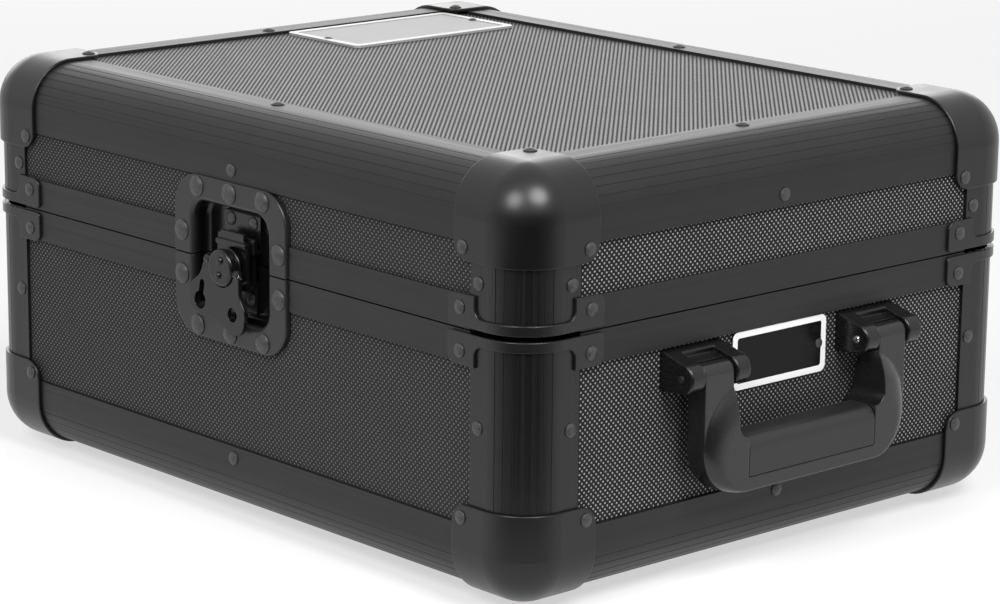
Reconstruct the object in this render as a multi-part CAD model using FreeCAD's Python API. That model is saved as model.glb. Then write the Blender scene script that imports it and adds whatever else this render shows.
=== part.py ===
"""Hard flight case: a hinged lid, a recessed twist latch and a swinging carrying handle.

+X points to the handle end, -Y to the latch and +Z up. The origin is on the ground that the
feet stand on, under the middle of the overall box. Lengths are in millimetres.

Shapes are drawn about the middle of the case and moved to the origin when they are written.
On each face, "depth" runs inwards from the outer face of the edge profiles.
"""
import FreeCAD, Part
import math
import os
from FreeCAD import Vector

# Case
CASE_WIDTH = 360.0
CASE_DEPTH = 286.0
CASE_HEIGHT = 173.8
SEAM_GAP = 0.6
FOOT_DROP = 5.0
PANEL_THICK = 7.0

# Rounded edge profile, shared by the edges and the corner posts
PROFILE_FLANGE = 30.0
PROFILE_RADIUS = 20.0
PROFILE_WALL = 1.5
PROFILE_INNER_WALL = 1.2
PROFILE_WEB = 2.0
PROFILE_END_GAP = 1.0
PANEL_EDGE_GAP = 0.2
POST_SEAM_GAP = 1.0
GROOVE_COUNT = 7
GROOVE_WIDTH = 0.5
GROOVE_DEEP = 0.2

# Rim profiles at the seam
RIM_LEG = 13.4
BASE_RIM_WEB = 6.5
LID_RIM_WEB = 4.0
RIM_END_GAP = 0.2
TONGUE_OUTER = 3.9
TONGUE_THICK = 2.2
TONGUE_DEEP = 3.8
TONGUE_PLAY = 0.3

# Corner caps and braces
SEAT_GAP = 0.05
CAP_WALL = 1.5
CAP_LAP = 8.8
LID_CAP_LAP = 7.2
CAP_ROUND = 8.0
CAP_RIVET_BACK = 5.4
CAP_EDGE_ROUND = 0.5
BRACE_WALL = 1.2
BRACE_LAP = 12.0
BRACE_TAB = 15.4
BRACE_HEIGHT = 13.2
BRACE_BAND = 4.3
BRACE_ROUND = 4.0
BRACE_EDGE_ROUND = 0.4
BRACE_SEAM_GAP = 0.8
BRACE_RIVET_BACK = 7.0
BRACE_RIVET_RISE = 8.7

# Rivets
RIVET_HEAD = 5.7
RIVET_DOME = 1.3
RIVET_EDGE = 0.4
RIVET_SHANK = 3.2
RIVET_LENGTH = 7.6
RIVET_PLAY = 0.05
RIVET_BLIND = 0.5
EDGE_RIVET_BACK = 5.1
POST_RIVET_BACK = 4.4
LID_POST_RIVET_RISE = 19.4
BASE_POST_RIVET_DROP = 38.3
DISH_RIVET_HEAD = 9.0
DISH_RIVET_DOME = 2.0

# Feet
FOOT_TOP = 26.0
FOOT_BOTTOM = 22.0
FOOT_INSET_X = 62.0
FOOT_INSET_Y = 58.0
FOOT_SCREW_HEAD = 8.0
FOOT_SCREW_HEAD_TALL = 2.4
FOOT_SCREW_SHANK = 3.5
FOOT_SCREW_BITE = 5.0
FOOT_SCREW_SINK = 1.2

# Foam
FOAM_WALL_GAP = 3.5
FOAM_FLOOR_GAP = 0.3
FOAM_PAD = 12.0
FOAM_SEAM_GAP = 2.0
FOAM_SIDE = 38.0
FOAM_POCKET_ROUND = 4.0
LID_FOAM_THICK = 30.0

# Latch dish
DISH_WIDTH = 75.2
DISH_HEIGHT = 69.6
DISH_LAP = 0.2
DISH_ROUND = 15.0
DISH_WALL = 1.3
DISH_SIDE_RIM = 12.1
DISH_END_RIM = 10.8
DISH_MOUTH_ROUND = 8.0
DISH_RECESS = 7.5
DISH_FLOOR_ROUND = 3.0
DISH_LIP_ROUND = 2.0
DISH_EDGE_ROUND = 0.8
DISH_PANEL_GAP = 0.3
DISH_ROW_RIVET_PITCH = 22.0
DISH_ROW_RIVET_BACK = 4.9
DISH_SIDE_RIVET_BACK = 5.0
DISH_SIDE_RIVET_RISE = 9.4

# Latch keeper and carrier
KEEPER_WIDTH = 24.4
KEEPER_WALL = 1.8
KEEPER_BOTTOM = 5.4
KEEPER_TOP_GAP = 0.2
KEEPER_LIP_TOP = 11.6
KEEPER_HOOK_GAP = 0.5
KEEPER_RIVET_OUT = 7.35
KEEPER_RIVET_BACK = 3.2
CARRIER_WIDTH = 19.0
CARRIER_WALL = 1.8
CARRIER_TOP = 4.2
CARRIER_STEP = 7.5
CARRIER_BOTTOM_GAP = 0.2
CARRIER_STAND_OFF = 2.0
CARRIER_RIVET_OUT = 5.6
CARRIER_RIVET_BACK = 5.8
SMALL_RIVET_LENGTH = 3.0

# Latch spindle, hook and wings
LATCH_DROP = 0.8
LATCH_TURN = 11.5
BOSS_DIAMETER = 15.8
BOSS_FRONT = 6.8
BOSS_BACK = 1.1
BOSS_ROUND = 1.2
BOSS_RING_ROUND = 0.7
BOSS_GROOVE_BACK = 1.2
BOSS_GROOVE_WIDTH = 1.3
BOSS_GROOVE_DEEP = 0.9
COLLAR_DIAMETER = 13.0
COLLAR_GAP = 0.2
BOSS_PIN_DIAMETER = 3.2
BOSS_PIN_TALL = 1.2
BOSS_PIN_ROUND = 1.0
BOSS_PIN_OUT = 3.3
CAM_DIAMETER = 9.2
CAM_THROW = 2.0
CAM_SIDE_GAP = 0.3
CAM_END_GAP = 0.55
SPINDLE_DIAMETER = 7.0
SPINDLE_HEAD = 10.0
SPINDLE_HEAD_TALL = 1.2
SPINDLE_PLAY = 0.05
HOOK_FRONT = 0.2
HOOK_WALL = 1.6
HOOK_WIDTH = 19.8
HOOK_HEAD_WIDTH = 15.6
HOOK_STEP_BOTTOM = 7.5
HOOK_HEAD_BOTTOM = 10.0
HOOK_TOP = 13.5
HOOK_STEP_OUT = 1.0
HOOK_STEP_ROUND = 0.5
HOOK_FOOT = 2.4
HOOK_ROUND = 0.8
WING_WALL = 1.8
WING_RIVET_GAP = 0.5
WING_BOSS_GAP = 0.6
WING_EAR = 2.9
WING_EYE_DIAMETER = 3.2
WING_EDGE_ROUND = 0.4
WING_PIN_DIAMETER = 2.0
WING_PIN_PLAY = 0.05
WING_TOP = 2.0
WING_EAR_ROUND = 1.0
WING_SHOULDER = (13.4, -8.0)
WING_SHOULDER_ROUND = 9.0
WING_HALF_WIDTH = 18.9
WING_LOBE_TOP = -13.6
WING_BOTTOM = -25.2
WING_SADDLE = -23.8
WING_SADDLE_ROUND = 8.0
WING_SADDLE_END_ROUND = 4.0
WING_LOBE_ROUND = 5.7
WING_HOLE = (10.8, -17.2)
WING_HOLE_DIAMETER = 6.2
WING_KEYHOLE = (-11.2, -19.0)
WING_KEYHOLE_DIAMETER = 7.6
WING_KEYHOLE_SLOT = 3.2
WING_KEYHOLE_TOP = -9.6

# Rear hinges
HINGE_CORNER_GAP = 13.0
HINGE_LENGTH = 60.0
HINGE_LEAF = 28.0
HINGE_WALL = 1.5
HINGE_OUT = 4.4
HINGE_KNUCKLE = 8.0
HINGE_MIDDLE = 20.0
HINGE_END_GAP = 0.25
HINGE_PIN_DIAMETER = 3.2
HINGE_PIN_PLAY = 0.05
HINGE_PIN_HEAD = 5.2
HINGE_PIN_HEAD_TALL = 1.2
HINGE_RIVET_PITCH = 20.0
HINGE_RIVET_RISE = 21.5
HINGE_NOTCH_GAP = 0.4
LID_RANGE = 110.0
HINGE_STOP_LENGTH = 7.0
HINGE_STOP_WALL = 1.6
HINGE_STOP_GAP = 0.15

# Handle
HANDLE_SPAN = 51.0
HANDLE_PIVOT_OUT = 10.7
HANDLE_PIVOT_DROP = 24.2
BRACKET_WIDTH = 33.4
BRACKET_SLOT = 18.0
BRACKET_FALL = 7.5
BRACKET_RISE = 9.7
BRACKET_NOSE = 12.6
BRACKET_RECESS_OUT = 3.0
BRACKET_RECESS_DEEP = 2.4
BRACKET_ROUND = 1.0
BRACKET_LIP_ROUND = 0.8
BRACKET_SWING_GAP = 0.4
HANDLE_PIN_DIAMETER = 3.0
HANDLE_PIN_PLAY = 0.05
HANDLE_PIN_PROUD = 0.5
HANDLE_SCREW_SHANK = 4.0
HANDLE_SCREW_HEAD = 8.0
HANDLE_SCREW_HEAD_TALL = 1.8
HANDLE_SCREW_BITE = 6.5
LEG_SIDE_GAP = 1.0
LEG_THICK = 9.8
BAIL_DROP = 50.5
BAIL_ROUND = 20.0
BAIL_INNER_ROUND = 5.5
BULGE_TOP_DROP = 4.0
BULGE_TOP_ROUND = 26.0
BULGE_SIDE_INSET = 9.0
BULGE_TOP_INSET = 18.0
BULGE_BOTTOM_INSET = 1.5
CROWN_ROUND = 13.0
BULGE_STEPS = 9
BULGE_POWER = 2.2
GRIP_THICK = 18.2
GRIP_HEIGHT = 23.5
GRIP_LEDGE = 7.0
GRIP_ROUND = 6.0
GRIP_END = 6.0
GRIP_WALL = 3.2
GRIP_SEAM = 0.35

# Plates
PLATE_WALL = 0.8
PLATE_ROUND = 3.0
LABEL_BRACKET_GAP = 6.8
LABEL_HEIGHT = 24.4
LABEL_RIM_GAP = 0.3
BADGE_WIDTH = 52.0
BADGE_LENGTH = 98.0
BADGE_SIDE_GAP = 1.6
BADGE_REAR_GAP = 9.7
PLATE_RIVET_INSET = 4.0
PLATE_RIVET_HEAD = 4.0
PLATE_RIVET_DOME = 1.0
PLATE_RIVET_SHANK = 2.0

# Values that follow from those above
HALF_WIDTH = CASE_WIDTH / 2
HALF_DEPTH = CASE_DEPTH / 2
FLOOR_Z = FOOT_DROP
TOP_Z = FLOOR_Z + CASE_HEIGHT
LID_HEIGHT = PROFILE_FLANGE + DISH_HEIGHT / 2 - DISH_LAP
SEAM_Z = TOP_Z - LID_HEIGHT
BASE_SEAM_Z = SEAM_Z - SEAM_GAP / 2
LID_SEAM_Z = SEAM_Z + SEAM_GAP / 2
PANEL_IN = PROFILE_WALL + PANEL_THICK
LINER_IN = PANEL_IN + PROFILE_INNER_WALL
PANEL_EDGE = PROFILE_RADIUS + PANEL_EDGE_GAP
PROFILE_END = PROFILE_FLANGE + PROFILE_END_GAP
RIM_END = PROFILE_FLANGE + RIM_END_GAP
TONGUE_INNER = TONGUE_OUTER + TONGUE_THICK
GROOVE_OUTER = TONGUE_OUTER - TONGUE_PLAY
GROOVE_FLOOR = TONGUE_DEEP + SEAM_GAP + TONGUE_PLAY
GROOVE_INNER = math.hypot(TONGUE_INNER + HINGE_OUT, GROOVE_FLOOR) - HINGE_OUT + TONGUE_PLAY / 2
CAP_OUT = SEAT_GAP + CAP_WALL
CAP_REACH = PROFILE_FLANGE + CAP_LAP
LID_CAP_REACH = PROFILE_FLANGE + LID_CAP_LAP
CAP_RIVET_INSET = CAP_REACH - CAP_RIVET_BACK
BRACE_REACH = PROFILE_FLANGE + BRACE_LAP
BRACE_RIVET_INSET = BRACE_REACH - BRACE_RIVET_BACK
EDGE_RIVET_INSET = PROFILE_FLANGE - EDGE_RIVET_BACK
POST_RIVET_INSET = PROFILE_FLANGE - POST_RIVET_BACK
FOAM_IN = PANEL_IN + FOAM_WALL_GAP
DISH_BACK = DISH_RECESS + DISH_WALL
DISH_MOUTH_WIDTH = DISH_WIDTH - 2 * DISH_SIDE_RIM
DISH_MOUTH_HEIGHT = DISH_HEIGHT - 2 * DISH_END_RIM
DISH_ROW_RIVET_RISE = DISH_HEIGHT / 2 - DISH_ROW_RIVET_BACK
DISH_SIDE_RIVET_OUT = DISH_WIDTH / 2 - DISH_SIDE_RIVET_BACK
DISH_RIVET_LENGTH = DISH_WALL + PANEL_IN - RIVET_BLIND
DISH_FLOOR_REACH = DISH_MOUTH_HEIGHT / 2 - DISH_FLOOR_ROUND
KEEPER_TOP = DISH_FLOOR_REACH - KEEPER_TOP_GAP
CARRIER_BOTTOM = DISH_FLOOR_REACH - CARRIER_BOTTOM_GAP
LATCH_Z = SEAM_Z - LATCH_DROP
HOOK_BACK = HOOK_FRONT + HOOK_WALL
KEEPER_LIP_FRONT = HOOK_BACK + KEEPER_HOOK_GAP
CARRIER_FRONT = HOOK_BACK + CARRIER_STAND_OFF
CARRIER_BACK = CARRIER_FRONT + CARRIER_WALL
WING_BACK = DISH_WALL + DISH_RIVET_DOME + WING_RIVET_GAP
WING_MIDDLE = WING_BACK + WING_WALL / 2
WING_EAR_IN = BOSS_DIAMETER / 2 + WING_BOSS_GAP
WING_EAR_OUT = WING_EAR_IN + WING_EAR
HINGE_X = HALF_WIDTH - BRACE_REACH - HINGE_CORNER_GAP - HINGE_LENGTH / 2
PIVOT_Z = SEAM_Z - HANDLE_PIVOT_DROP
BAIL_BOTTOM_Z = PIVOT_Z - BAIL_DROP
GRIP_TOP_Z = BAIL_BOTTOM_Z + GRIP_HEIGHT
LEG_OUTER = HANDLE_SPAN + BRACKET_SLOT / 2 - LEG_SIDE_GAP
LEG_INNER = HANDLE_SPAN - BRACKET_SLOT / 2 + LEG_SIDE_GAP
GRIP_HALF_LENGTH = LEG_INNER - GRIP_END
GRIP_OUT = HANDLE_PIVOT_OUT + GRIP_THICK / 2
LABEL_LENGTH = 2 * (HANDLE_SPAN - BRACKET_WIDTH / 2 - LABEL_BRACKET_GAP)
LABEL_Z = BASE_SEAM_Z - RIM_LEG - LABEL_RIM_GAP - LABEL_HEIGHT / 2
BADGE_X = -HALF_WIDTH + PROFILE_FLANGE + BADGE_SIDE_GAP + BADGE_WIDTH / 2
BADGE_Y = HALF_DEPTH - PROFILE_FLANGE - BADGE_REAR_GAP - BADGE_LENGTH / 2
STOP_FACE = HINGE_OUT - HINGE_WALL - HINGE_STOP_GAP
STOP_REACH = HINGE_STOP_LENGTH * math.sin(math.radians(LID_RANGE)) - STOP_FACE * math.cos(
    math.radians(LID_RANGE)
)
SIDE_REACH = CAP_OUT + RIVET_DOME
REAR_REACH = HINGE_OUT + max(STOP_REACH, HINGE_KNUCKLE / 2)
FRONT_REACH = BOSS_FRONT + BOSS_PIN_TALL
ORIGIN_SHIFT = Vector((SIDE_REACH - GRIP_OUT) / 2, (FRONT_REACH - REAR_REACH) / 2, 0)

X = Vector(1, 0, 0)
Y = Vector(0, 1, 0)
Z = Vector(0, 0, 1)
OVERRUN = 20.0
RIGHT_ANGLE = 90.0
SHARP_ANGLE = 35.0


class Side:
    """One upright face of the case: places points by run along it, depth into it and height."""

    def __init__(self, along, inward, half_run, half_depth):
        self.along = along
        self.inward = inward
        self.half_run = half_run
        self.half_depth = half_depth

    def at(self, run, depth, z):
        return self.along * run + self.inward * (depth - self.half_depth) + Z * z

    def block(self, run, depth, z):
        corner = self.at(run[0], depth[0], z[0])
        other = self.at(run[1], depth[1], z[1])
        return block((corner.x, other.x), (corner.y, other.y), (corner.z, other.z))

    def extrude(self, corners, run):
        """A prism along the face; its corners are (depth, z, radius)."""
        face = rounded_face(lambda depth, z: self.at(run[0], depth, z), corners)
        return face.extrude(self.along * (run[1] - run[0]))

    def press(self, corners, depth):
        """A prism into the face; its corners are (run, z, radius)."""
        face = rounded_face(lambda run, z: self.at(run, depth[0], z), corners)
        return face.extrude(self.inward * (depth[1] - depth[0]))


FRONT = Side(X, Y, HALF_WIDTH, HALF_DEPTH)
REAR = Side(-X, -Y, HALF_WIDTH, HALF_DEPTH)
LEFT = Side(-Y, X, HALF_DEPTH, HALF_WIDTH)
RIGHT = Side(Y, -X, HALF_DEPTH, HALF_WIDTH)
SIDES = {"front": FRONT, "rear": REAR, "left": LEFT, "right": RIGHT}
CORNERS = [(1, -1), (1, 1), (-1, 1), (-1, -1)]


class Outline:
    """Gathers lines and arcs given in two coordinates into one face."""

    def __init__(self, place, a, b):
        self.place = place
        self.first = place(a, b)
        self.last = self.first
        self.edges = []

    def line(self, a, b):
        self._line_to(self.place(a, b))

    def arc(self, through, end):
        stop = self.place(*end)
        self.edges.append(Part.Arc(self.last, self.place(*through), stop).toShape())
        self.last = stop

    def face(self):
        self._line_to(self.first)
        return Part.Face(Part.Wire(self.edges))

    def _line_to(self, point):
        if (point - self.last).Length > 1e-6:
            self.edges.append(Part.makeLine(self.last, point))
        self.last = point


def rounded_face(place, corners):
    """A face from (a, b, radius) corners, each rounded by its radius."""
    bends = []
    for index, (a, b, radius) in enumerate(corners):
        here = Vector(a, b, 0)
        back = Vector(*corners[index - 1][:2], 0) - here
        ahead = Vector(*corners[(index + 1) % len(corners)][:2], 0) - here
        back.normalize()
        ahead.normalize()
        if radius == 0:
            bends.append((here, None, here))
            continue
        half = back.getAngle(ahead) / 2
        middle = back + ahead
        middle.normalize()
        reach = radius / math.tan(half)
        sagitta = radius / math.sin(half) - radius
        bends.append((here + back * reach, here + middle * sagitta, here + ahead * reach))
    outline = Outline(place, bends[0][2].x, bends[0][2].y)
    for start, through, end in bends[1:] + bends[:1]:
        outline.line(start.x, start.y)
        if through is not None:
            outline.arc((through.x, through.y), (end.x, end.y))
    return outline.face()


def rectangle(a, b, radius=0):
    return [(a[0], b[0], radius), (a[1], b[0], radius), (a[1], b[1], radius), (a[0], b[1], radius)]


def block(x, y, z):
    size = [abs(pair[1] - pair[0]) for pair in (x, y, z)]
    return Part.makeBox(*size, Vector(min(x), min(y), min(z)))


def rod(start, end, diameter):
    reach = end - start
    return Part.makeCylinder(diameter / 2, reach.Length, start, reach)


def fillet(shape, radius, wanted):
    """Rounds the edges whose middle passes the test."""
    return shape.makeFillet(radius, [edge for edge in shape.Edges if wanted(edge.CenterOfMass)])


def ease(shape, radius, wanted):
    """Rounds the sharp edges whose halfway point passes the test."""

    def halfway(edge):
        return edge.valueAt((edge.FirstParameter + edge.LastParameter) / 2)

    def sharp(edge):
        faces = shape.ancestorsOfType(edge, Part.Face)
        normals = [face.normalAt(*face.Surface.parameter(halfway(edge))) for face in faces]
        return len(faces) == 2 and math.degrees(normals[0].getAngle(normals[1])) > SHARP_ANGLE

    return shape.makeFillet(radius, [e for e in shape.Edges if wanted(halfway(e)) and sharp(e)])


def close(first, second):
    return abs(first - second) < 1e-3


def fuse(*shapes):
    return shapes[0].fuse(list(shapes[1:])).removeSplitter()


def dome(seat, outward, head, tall, shank, length):
    """A domed rivet with its shank, and the hole that the shank needs."""
    inward = outward * -1
    across = outward.cross(Vector(outward.y, outward.z, outward.x))
    across.normalize()
    radius = head / 2
    crown = tall - RIVET_EDGE
    ball = (radius**2 + crown**2) / (2 * crown)
    lean = math.asin(radius / ball) / 2
    over = (ball * math.sin(lean), tall - ball + ball * math.cos(lean))
    outline = Outline(lambda a, b: seat + across * a + outward * b, 0, -length)
    outline.line(shank / 2, -length)
    outline.line(shank / 2, 0)
    outline.line(radius, 0)
    outline.line(radius, RIVET_EDGE)
    outline.arc(over, (0, tall))
    solid = Part.Solid(outline.face().revolve(seat, outward, 360))
    hole = rod(seat + outward * OVERRUN / 10, seat + inward * (length + RIVET_PLAY), shank + 2 * RIVET_PLAY)
    return solid, hole


class Fixings:
    """The rivets or screws of one node, and the holes that they need."""

    def __init__(self):
        self.solids = []
        self.holes = []

    def add(self, solid, hole):
        self.solids.append(solid)
        self.holes.append(hole)

    def rivet(self, seat, outward):
        self.add(*dome(seat, outward, RIVET_HEAD, RIVET_DOME, RIVET_SHANK, RIVET_LENGTH))

    def plate_rivet(self, seat, outward):
        self.add(
            *dome(seat, outward, PLATE_RIVET_HEAD, PLATE_RIVET_DOME, PLATE_RIVET_SHANK, RIVET_LENGTH)
        )

    def dish_rivet(self, seat, outward):
        self.add(
            *dome(seat, outward, DISH_RIVET_HEAD, DISH_RIVET_DOME, RIVET_SHANK, DISH_RIVET_LENGTH)
        )

    def small_rivet(self, seat, outward):
        self.add(*dome(seat, outward, RIVET_HEAD, RIVET_DOME, RIVET_SHANK, SMALL_RIVET_LENGTH))


NODES = {}
DRILLED = {"base": [], "lid": []}


def keep(name, shape, half=None):
    """Stores a node; half names the half of the case whose fixings are drilled through it."""
    if half:
        box = shape.BoundBox
        near = [hole for hole in DRILLED[half] if hole.BoundBox.intersect(box)]
        if near:
            shape = shape.cut(near)
    NODES[name] = shape.Solids


def profile_face(corner, first, second):
    """The edge profile's section, from its sharp outer corner and its two inward directions."""
    radius = PROFILE_RADIUS
    inner = radius - PROFILE_WALL
    lean = math.degrees(math.asin(PROFILE_WEB / 2 / inner))
    flare = PROFILE_WEB / math.sqrt(2)

    def bend(reach, angle):
        turn = math.radians(angle)
        return radius - reach * math.cos(turn), radius - reach * math.sin(turn)

    outline = Outline(lambda a, b: corner + first * a + second * b, 0, PROFILE_FLANGE)
    outline.line(0, radius)
    half_groove = math.degrees(GROOVE_WIDTH / 2 / radius)
    reached = 0.0
    for count in range(1, GROOVE_COUNT + 1):
        middle = RIGHT_ANGLE * count / (GROOVE_COUNT + 1)
        outline.arc(bend(radius, (reached + middle - half_groove) / 2), bend(radius, middle - half_groove))
        outline.line(*bend(radius - GROOVE_DEEP, middle))
        outline.line(*bend(radius, middle + half_groove))
        reached = middle + half_groove
    outline.arc(bend(radius, (reached + RIGHT_ANGLE) / 2), bend(radius, RIGHT_ANGLE))
    outline.line(PROFILE_FLANGE, 0)
    outline.line(PROFILE_FLANGE, PROFILE_WALL)
    outline.line(radius, PROFILE_WALL)
    diagonal = RIGHT_ANGLE / 2
    outline.arc(bend(inner, (RIGHT_ANGLE + diagonal + lean) / 2), bend(inner, diagonal + lean))
    outline.line(PANEL_IN + flare, PANEL_IN)
    outline.line(PROFILE_FLANGE, PANEL_IN)
    outline.line(PROFILE_FLANGE, LINER_IN)
    outline.line(LINER_IN, LINER_IN)
    outline.line(LINER_IN, PROFILE_FLANGE)
    outline.line(PANEL_IN, PROFILE_FLANGE)
    outline.line(PANEL_IN, PANEL_IN + flare)
    outline.line(*bend(inner, diagonal - lean))
    outline.arc(bend(inner, (diagonal - lean) / 2), bend(inner, 0))
    outline.line(PROFILE_WALL, PROFILE_FLANGE)
    return outline.face()


def edge_profile(side, z, upward):
    """A level edge profile along one face, at its bottom or its top."""
    run = side.half_run - PROFILE_END
    face = profile_face(side.at(-run, 0, z), side.inward, upward)
    return face.extrude(side.along * 2 * run)


def corner_posts(z):
    posts = []
    for sx, sy in CORNERS:
        corner = Vector(sx * HALF_WIDTH, sy * HALF_DEPTH, z[0])
        posts.append(profile_face(corner, X * -sx, Y * -sy).extrude(Z * (z[1] - z[0])))
    return Part.makeCompound(posts)


def base_rim(side):
    top = BASE_SEAM_Z
    low = top - RIM_LEG
    web = top - BASE_RIM_WEB
    floor = top - GROOVE_FLOOR
    points = [(0, low), (0, top), (GROOVE_OUTER, top), (GROOVE_OUTER, floor)]
    points += [(GROOVE_INNER, floor), (GROOVE_INNER, top), (LINER_IN, top), (LINER_IN, low)]
    points += [(PANEL_IN, low), (PANEL_IN, web), (PROFILE_WALL, web), (PROFILE_WALL, low)]
    run = side.half_run - RIM_END
    return side.extrude([(depth, z, 0) for depth, z in points], (-run, run))


def lid_rim(side):
    low = LID_SEAM_Z
    top = low + RIM_LEG
    web = low + LID_RIM_WEB
    tip = BASE_SEAM_Z - TONGUE_DEEP
    points = [(0, low), (0, top), (PROFILE_WALL, top), (PROFILE_WALL, web), (PANEL_IN, web)]
    points += [(PANEL_IN, top), (LINER_IN, top), (LINER_IN, low), (TONGUE_INNER, low)]
    points += [(TONGUE_INNER, tip), (TONGUE_OUTER, tip), (TONGUE_OUTER, low)]
    run = side.half_run - RIM_END
    return side.extrude([(depth, z, 0) for depth, z in points], (-run, run))


def dish_mouth(depth, spread=0.0):
    """A prism with the outline of the latch recess, grown by spread."""
    run = DISH_MOUTH_WIDTH / 2 + spread
    rise = DISH_MOUTH_HEIGHT / 2 + spread
    corners = rectangle((-run, run), (SEAM_Z - rise, SEAM_Z + rise), DISH_MOUTH_ROUND + spread)
    return FRONT.press(corners, depth)


def latch_opening():
    return dish_mouth((-OVERRUN, OVERRUN), DISH_WALL + DISH_PANEL_GAP)


def latch_dishes():
    """The pressed dish, cut at the seam into its upper and lower halves."""
    run = DISH_WIDTH / 2
    rise = DISH_HEIGHT / 2
    outline = rectangle((-run, run), (SEAM_Z - rise, SEAM_Z + rise), DISH_ROUND)
    flange = FRONT.press(outline, (-DISH_WALL, 0))
    seat = FRONT.press(outline, (0, PROFILE_WALL))
    wide = (-run - OVERRUN, run + OVERRUN)
    deep = (-OVERRUN, OVERRUN)
    rim_zone = (BASE_SEAM_Z - RIM_LEG - RIM_END_GAP, LID_SEAM_Z + RIM_LEG + RIM_END_GAP)
    top_zone = (TOP_Z - PROFILE_FLANGE - RIM_END_GAP, TOP_Z + OVERRUN)
    seat = seat.cut([FRONT.block(wide, deep, rim_zone), FRONT.block(wide, deep, top_zone)])
    bowl = dish_mouth((-DISH_WALL, DISH_BACK), DISH_WALL)
    hollow = dish_mouth((-OVERRUN, DISH_RECESS))
    floor_y = FRONT.at(0, DISH_RECESS, 0).y
    hollow = fillet(hollow, DISH_FLOOR_ROUND, lambda middle: close(middle.y, floor_y))
    dish = fuse(flange, *seat.Solids, bowl).cut(hollow)
    lip_y = FRONT.at(0, -DISH_WALL, 0).y
    reach_x = DISH_MOUTH_WIDTH / 2 + DISH_WALL
    reach_z = DISH_MOUTH_HEIGHT / 2 + DISH_WALL

    def inside(middle):
        return abs(middle.x) < reach_x and abs(middle.z - SEAM_Z) < reach_z

    dish = fillet(dish, DISH_LIP_ROUND, lambda middle: inside(middle) and close(middle.y, lip_y))
    dish = fillet(dish, DISH_EDGE_ROUND, lambda middle: not inside(middle) and close(middle.y, lip_y))
    lower = dish.cut(FRONT.block(wide, deep, (BASE_SEAM_Z, TOP_Z)))
    upper = dish.cut(FRONT.block(wide, deep, (FLOOR_Z, LID_SEAM_Z)))
    return lower, upper


def corner_shell(reach, out, wall):
    """The rounded corner of the box at +X, -Y and the top, as a skin around the profiles."""

    def solid(offset):
        x = HALF_WIDTH + offset
        y = -HALF_DEPTH - offset
        z = TOP_Z + offset
        size = reach + OVERRUN
        corner = block((x - size, x), (y, y + size), (z - size, z))

        def outer(middle):
            meets = [close(middle.x, x), close(middle.y, y), close(middle.z, z)]
            return meets.count(True) == 2

        return fillet(corner, PROFILE_RADIUS + offset, outer)

    return solid(out + wall).cut(solid(out))


def skin_height(point):
    """How far a point at the +X, -Y, top corner stands out of the edge profiles' outer surface."""
    x = min(point.x, HALF_WIDTH - PROFILE_RADIUS)
    y = max(point.y, -HALF_DEPTH + PROFILE_RADIUS)
    z = min(point.z, TOP_Z - PROFILE_RADIUS)
    return (point - Vector(x, y, z)).Length - PROFILE_RADIUS


def corner_cap(height):
    """The cap of the +X, -Y, top corner; height is how far it reaches down the upright edge."""
    x = HALF_WIDTH - CAP_REACH
    y = -HALF_DEPTH + CAP_REACH
    z = TOP_Z - height
    zone = block((x, HALF_WIDTH + OVERRUN), (-HALF_DEPTH - OVERRUN, y), (z, TOP_Z + OVERRUN))

    def inner(middle):
        meets = [close(middle.x, x), close(middle.y, y), close(middle.z, z)]
        return meets.count(True) == 2

    cap = corner_shell(CAP_REACH, SEAT_GAP, CAP_WALL).common(fillet(zone, CAP_ROUND, inner))
    return ease(cap.Solids[0], CAP_EDGE_ROUND, lambda point: close(skin_height(point), CAP_OUT))


def corner_brace():
    """The brace above the seam at +X, -Y: a folded strip with a raised tab on each face."""

    def post(offset):
        x = HALF_WIDTH + offset
        y = -HALF_DEPTH - offset
        size = BRACE_REACH + OVERRUN
        solid = block((x - size, x), (y, y + size), (SEAM_Z, TOP_Z))

        def outer(middle):
            return close(middle.x, x) and close(middle.y, y)

        return fillet(solid, PROFILE_RADIUS + offset, outer)

    def zone(reach, z, radii):
        low, high = radii
        front = [(HALF_WIDTH - reach, z[0], low), (HALF_WIDTH + OVERRUN, z[0], 0)]
        front += [(HALF_WIDTH + OVERRUN, z[1], 0), (HALF_WIDTH - reach, z[1], high)]
        right = [(-HALF_DEPTH + reach, z[0], low), (-HALF_DEPTH - OVERRUN, z[0], 0)]
        right += [(-HALF_DEPTH - OVERRUN, z[1], 0), (-HALF_DEPTH + reach, z[1], high)]
        return FRONT.press(front, (-OVERRUN, reach)).common(RIGHT.press(right, (-OVERRUN, reach)))

    low = LID_SEAM_Z + BRACE_SEAM_GAP
    strip = post(SEAT_GAP + BRACE_WALL).cut(post(SEAT_GAP))
    strip = strip.common(zone(BRACE_REACH, (low, low + BRACE_HEIGHT), (BRACE_ROUND / 2, BRACE_ROUND)))
    window = zone(BRACE_REACH - BRACE_TAB, (low + BRACE_BAND, TOP_Z), (BRACE_ROUND, 0))
    brace = strip.cut(window)
    outside = SEAT_GAP + BRACE_WALL
    return ease(brace.Solids[0], BRACE_EDGE_ROUND, lambda point: close(skin_height(point), outside))


def mirrored(shape, sx, sy, flip_z=None):
    """Copies a shape at the +X, -Y corner to another corner, flipped about a level if one is given."""
    if sx < 0:
        shape = shape.mirror(Vector(0, 0, 0), X)
    if sy > 0:
        shape = shape.mirror(Vector(0, 0, 0), Y)
    if flip_z is not None:
        shape = shape.mirror(Vector(0, 0, flip_z), Z)
    return shape


def four_corners(shape, flip_z=None):
    return Part.makeCompound([mirrored(shape, sx, sy, flip_z) for sx, sy in CORNERS])


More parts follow.
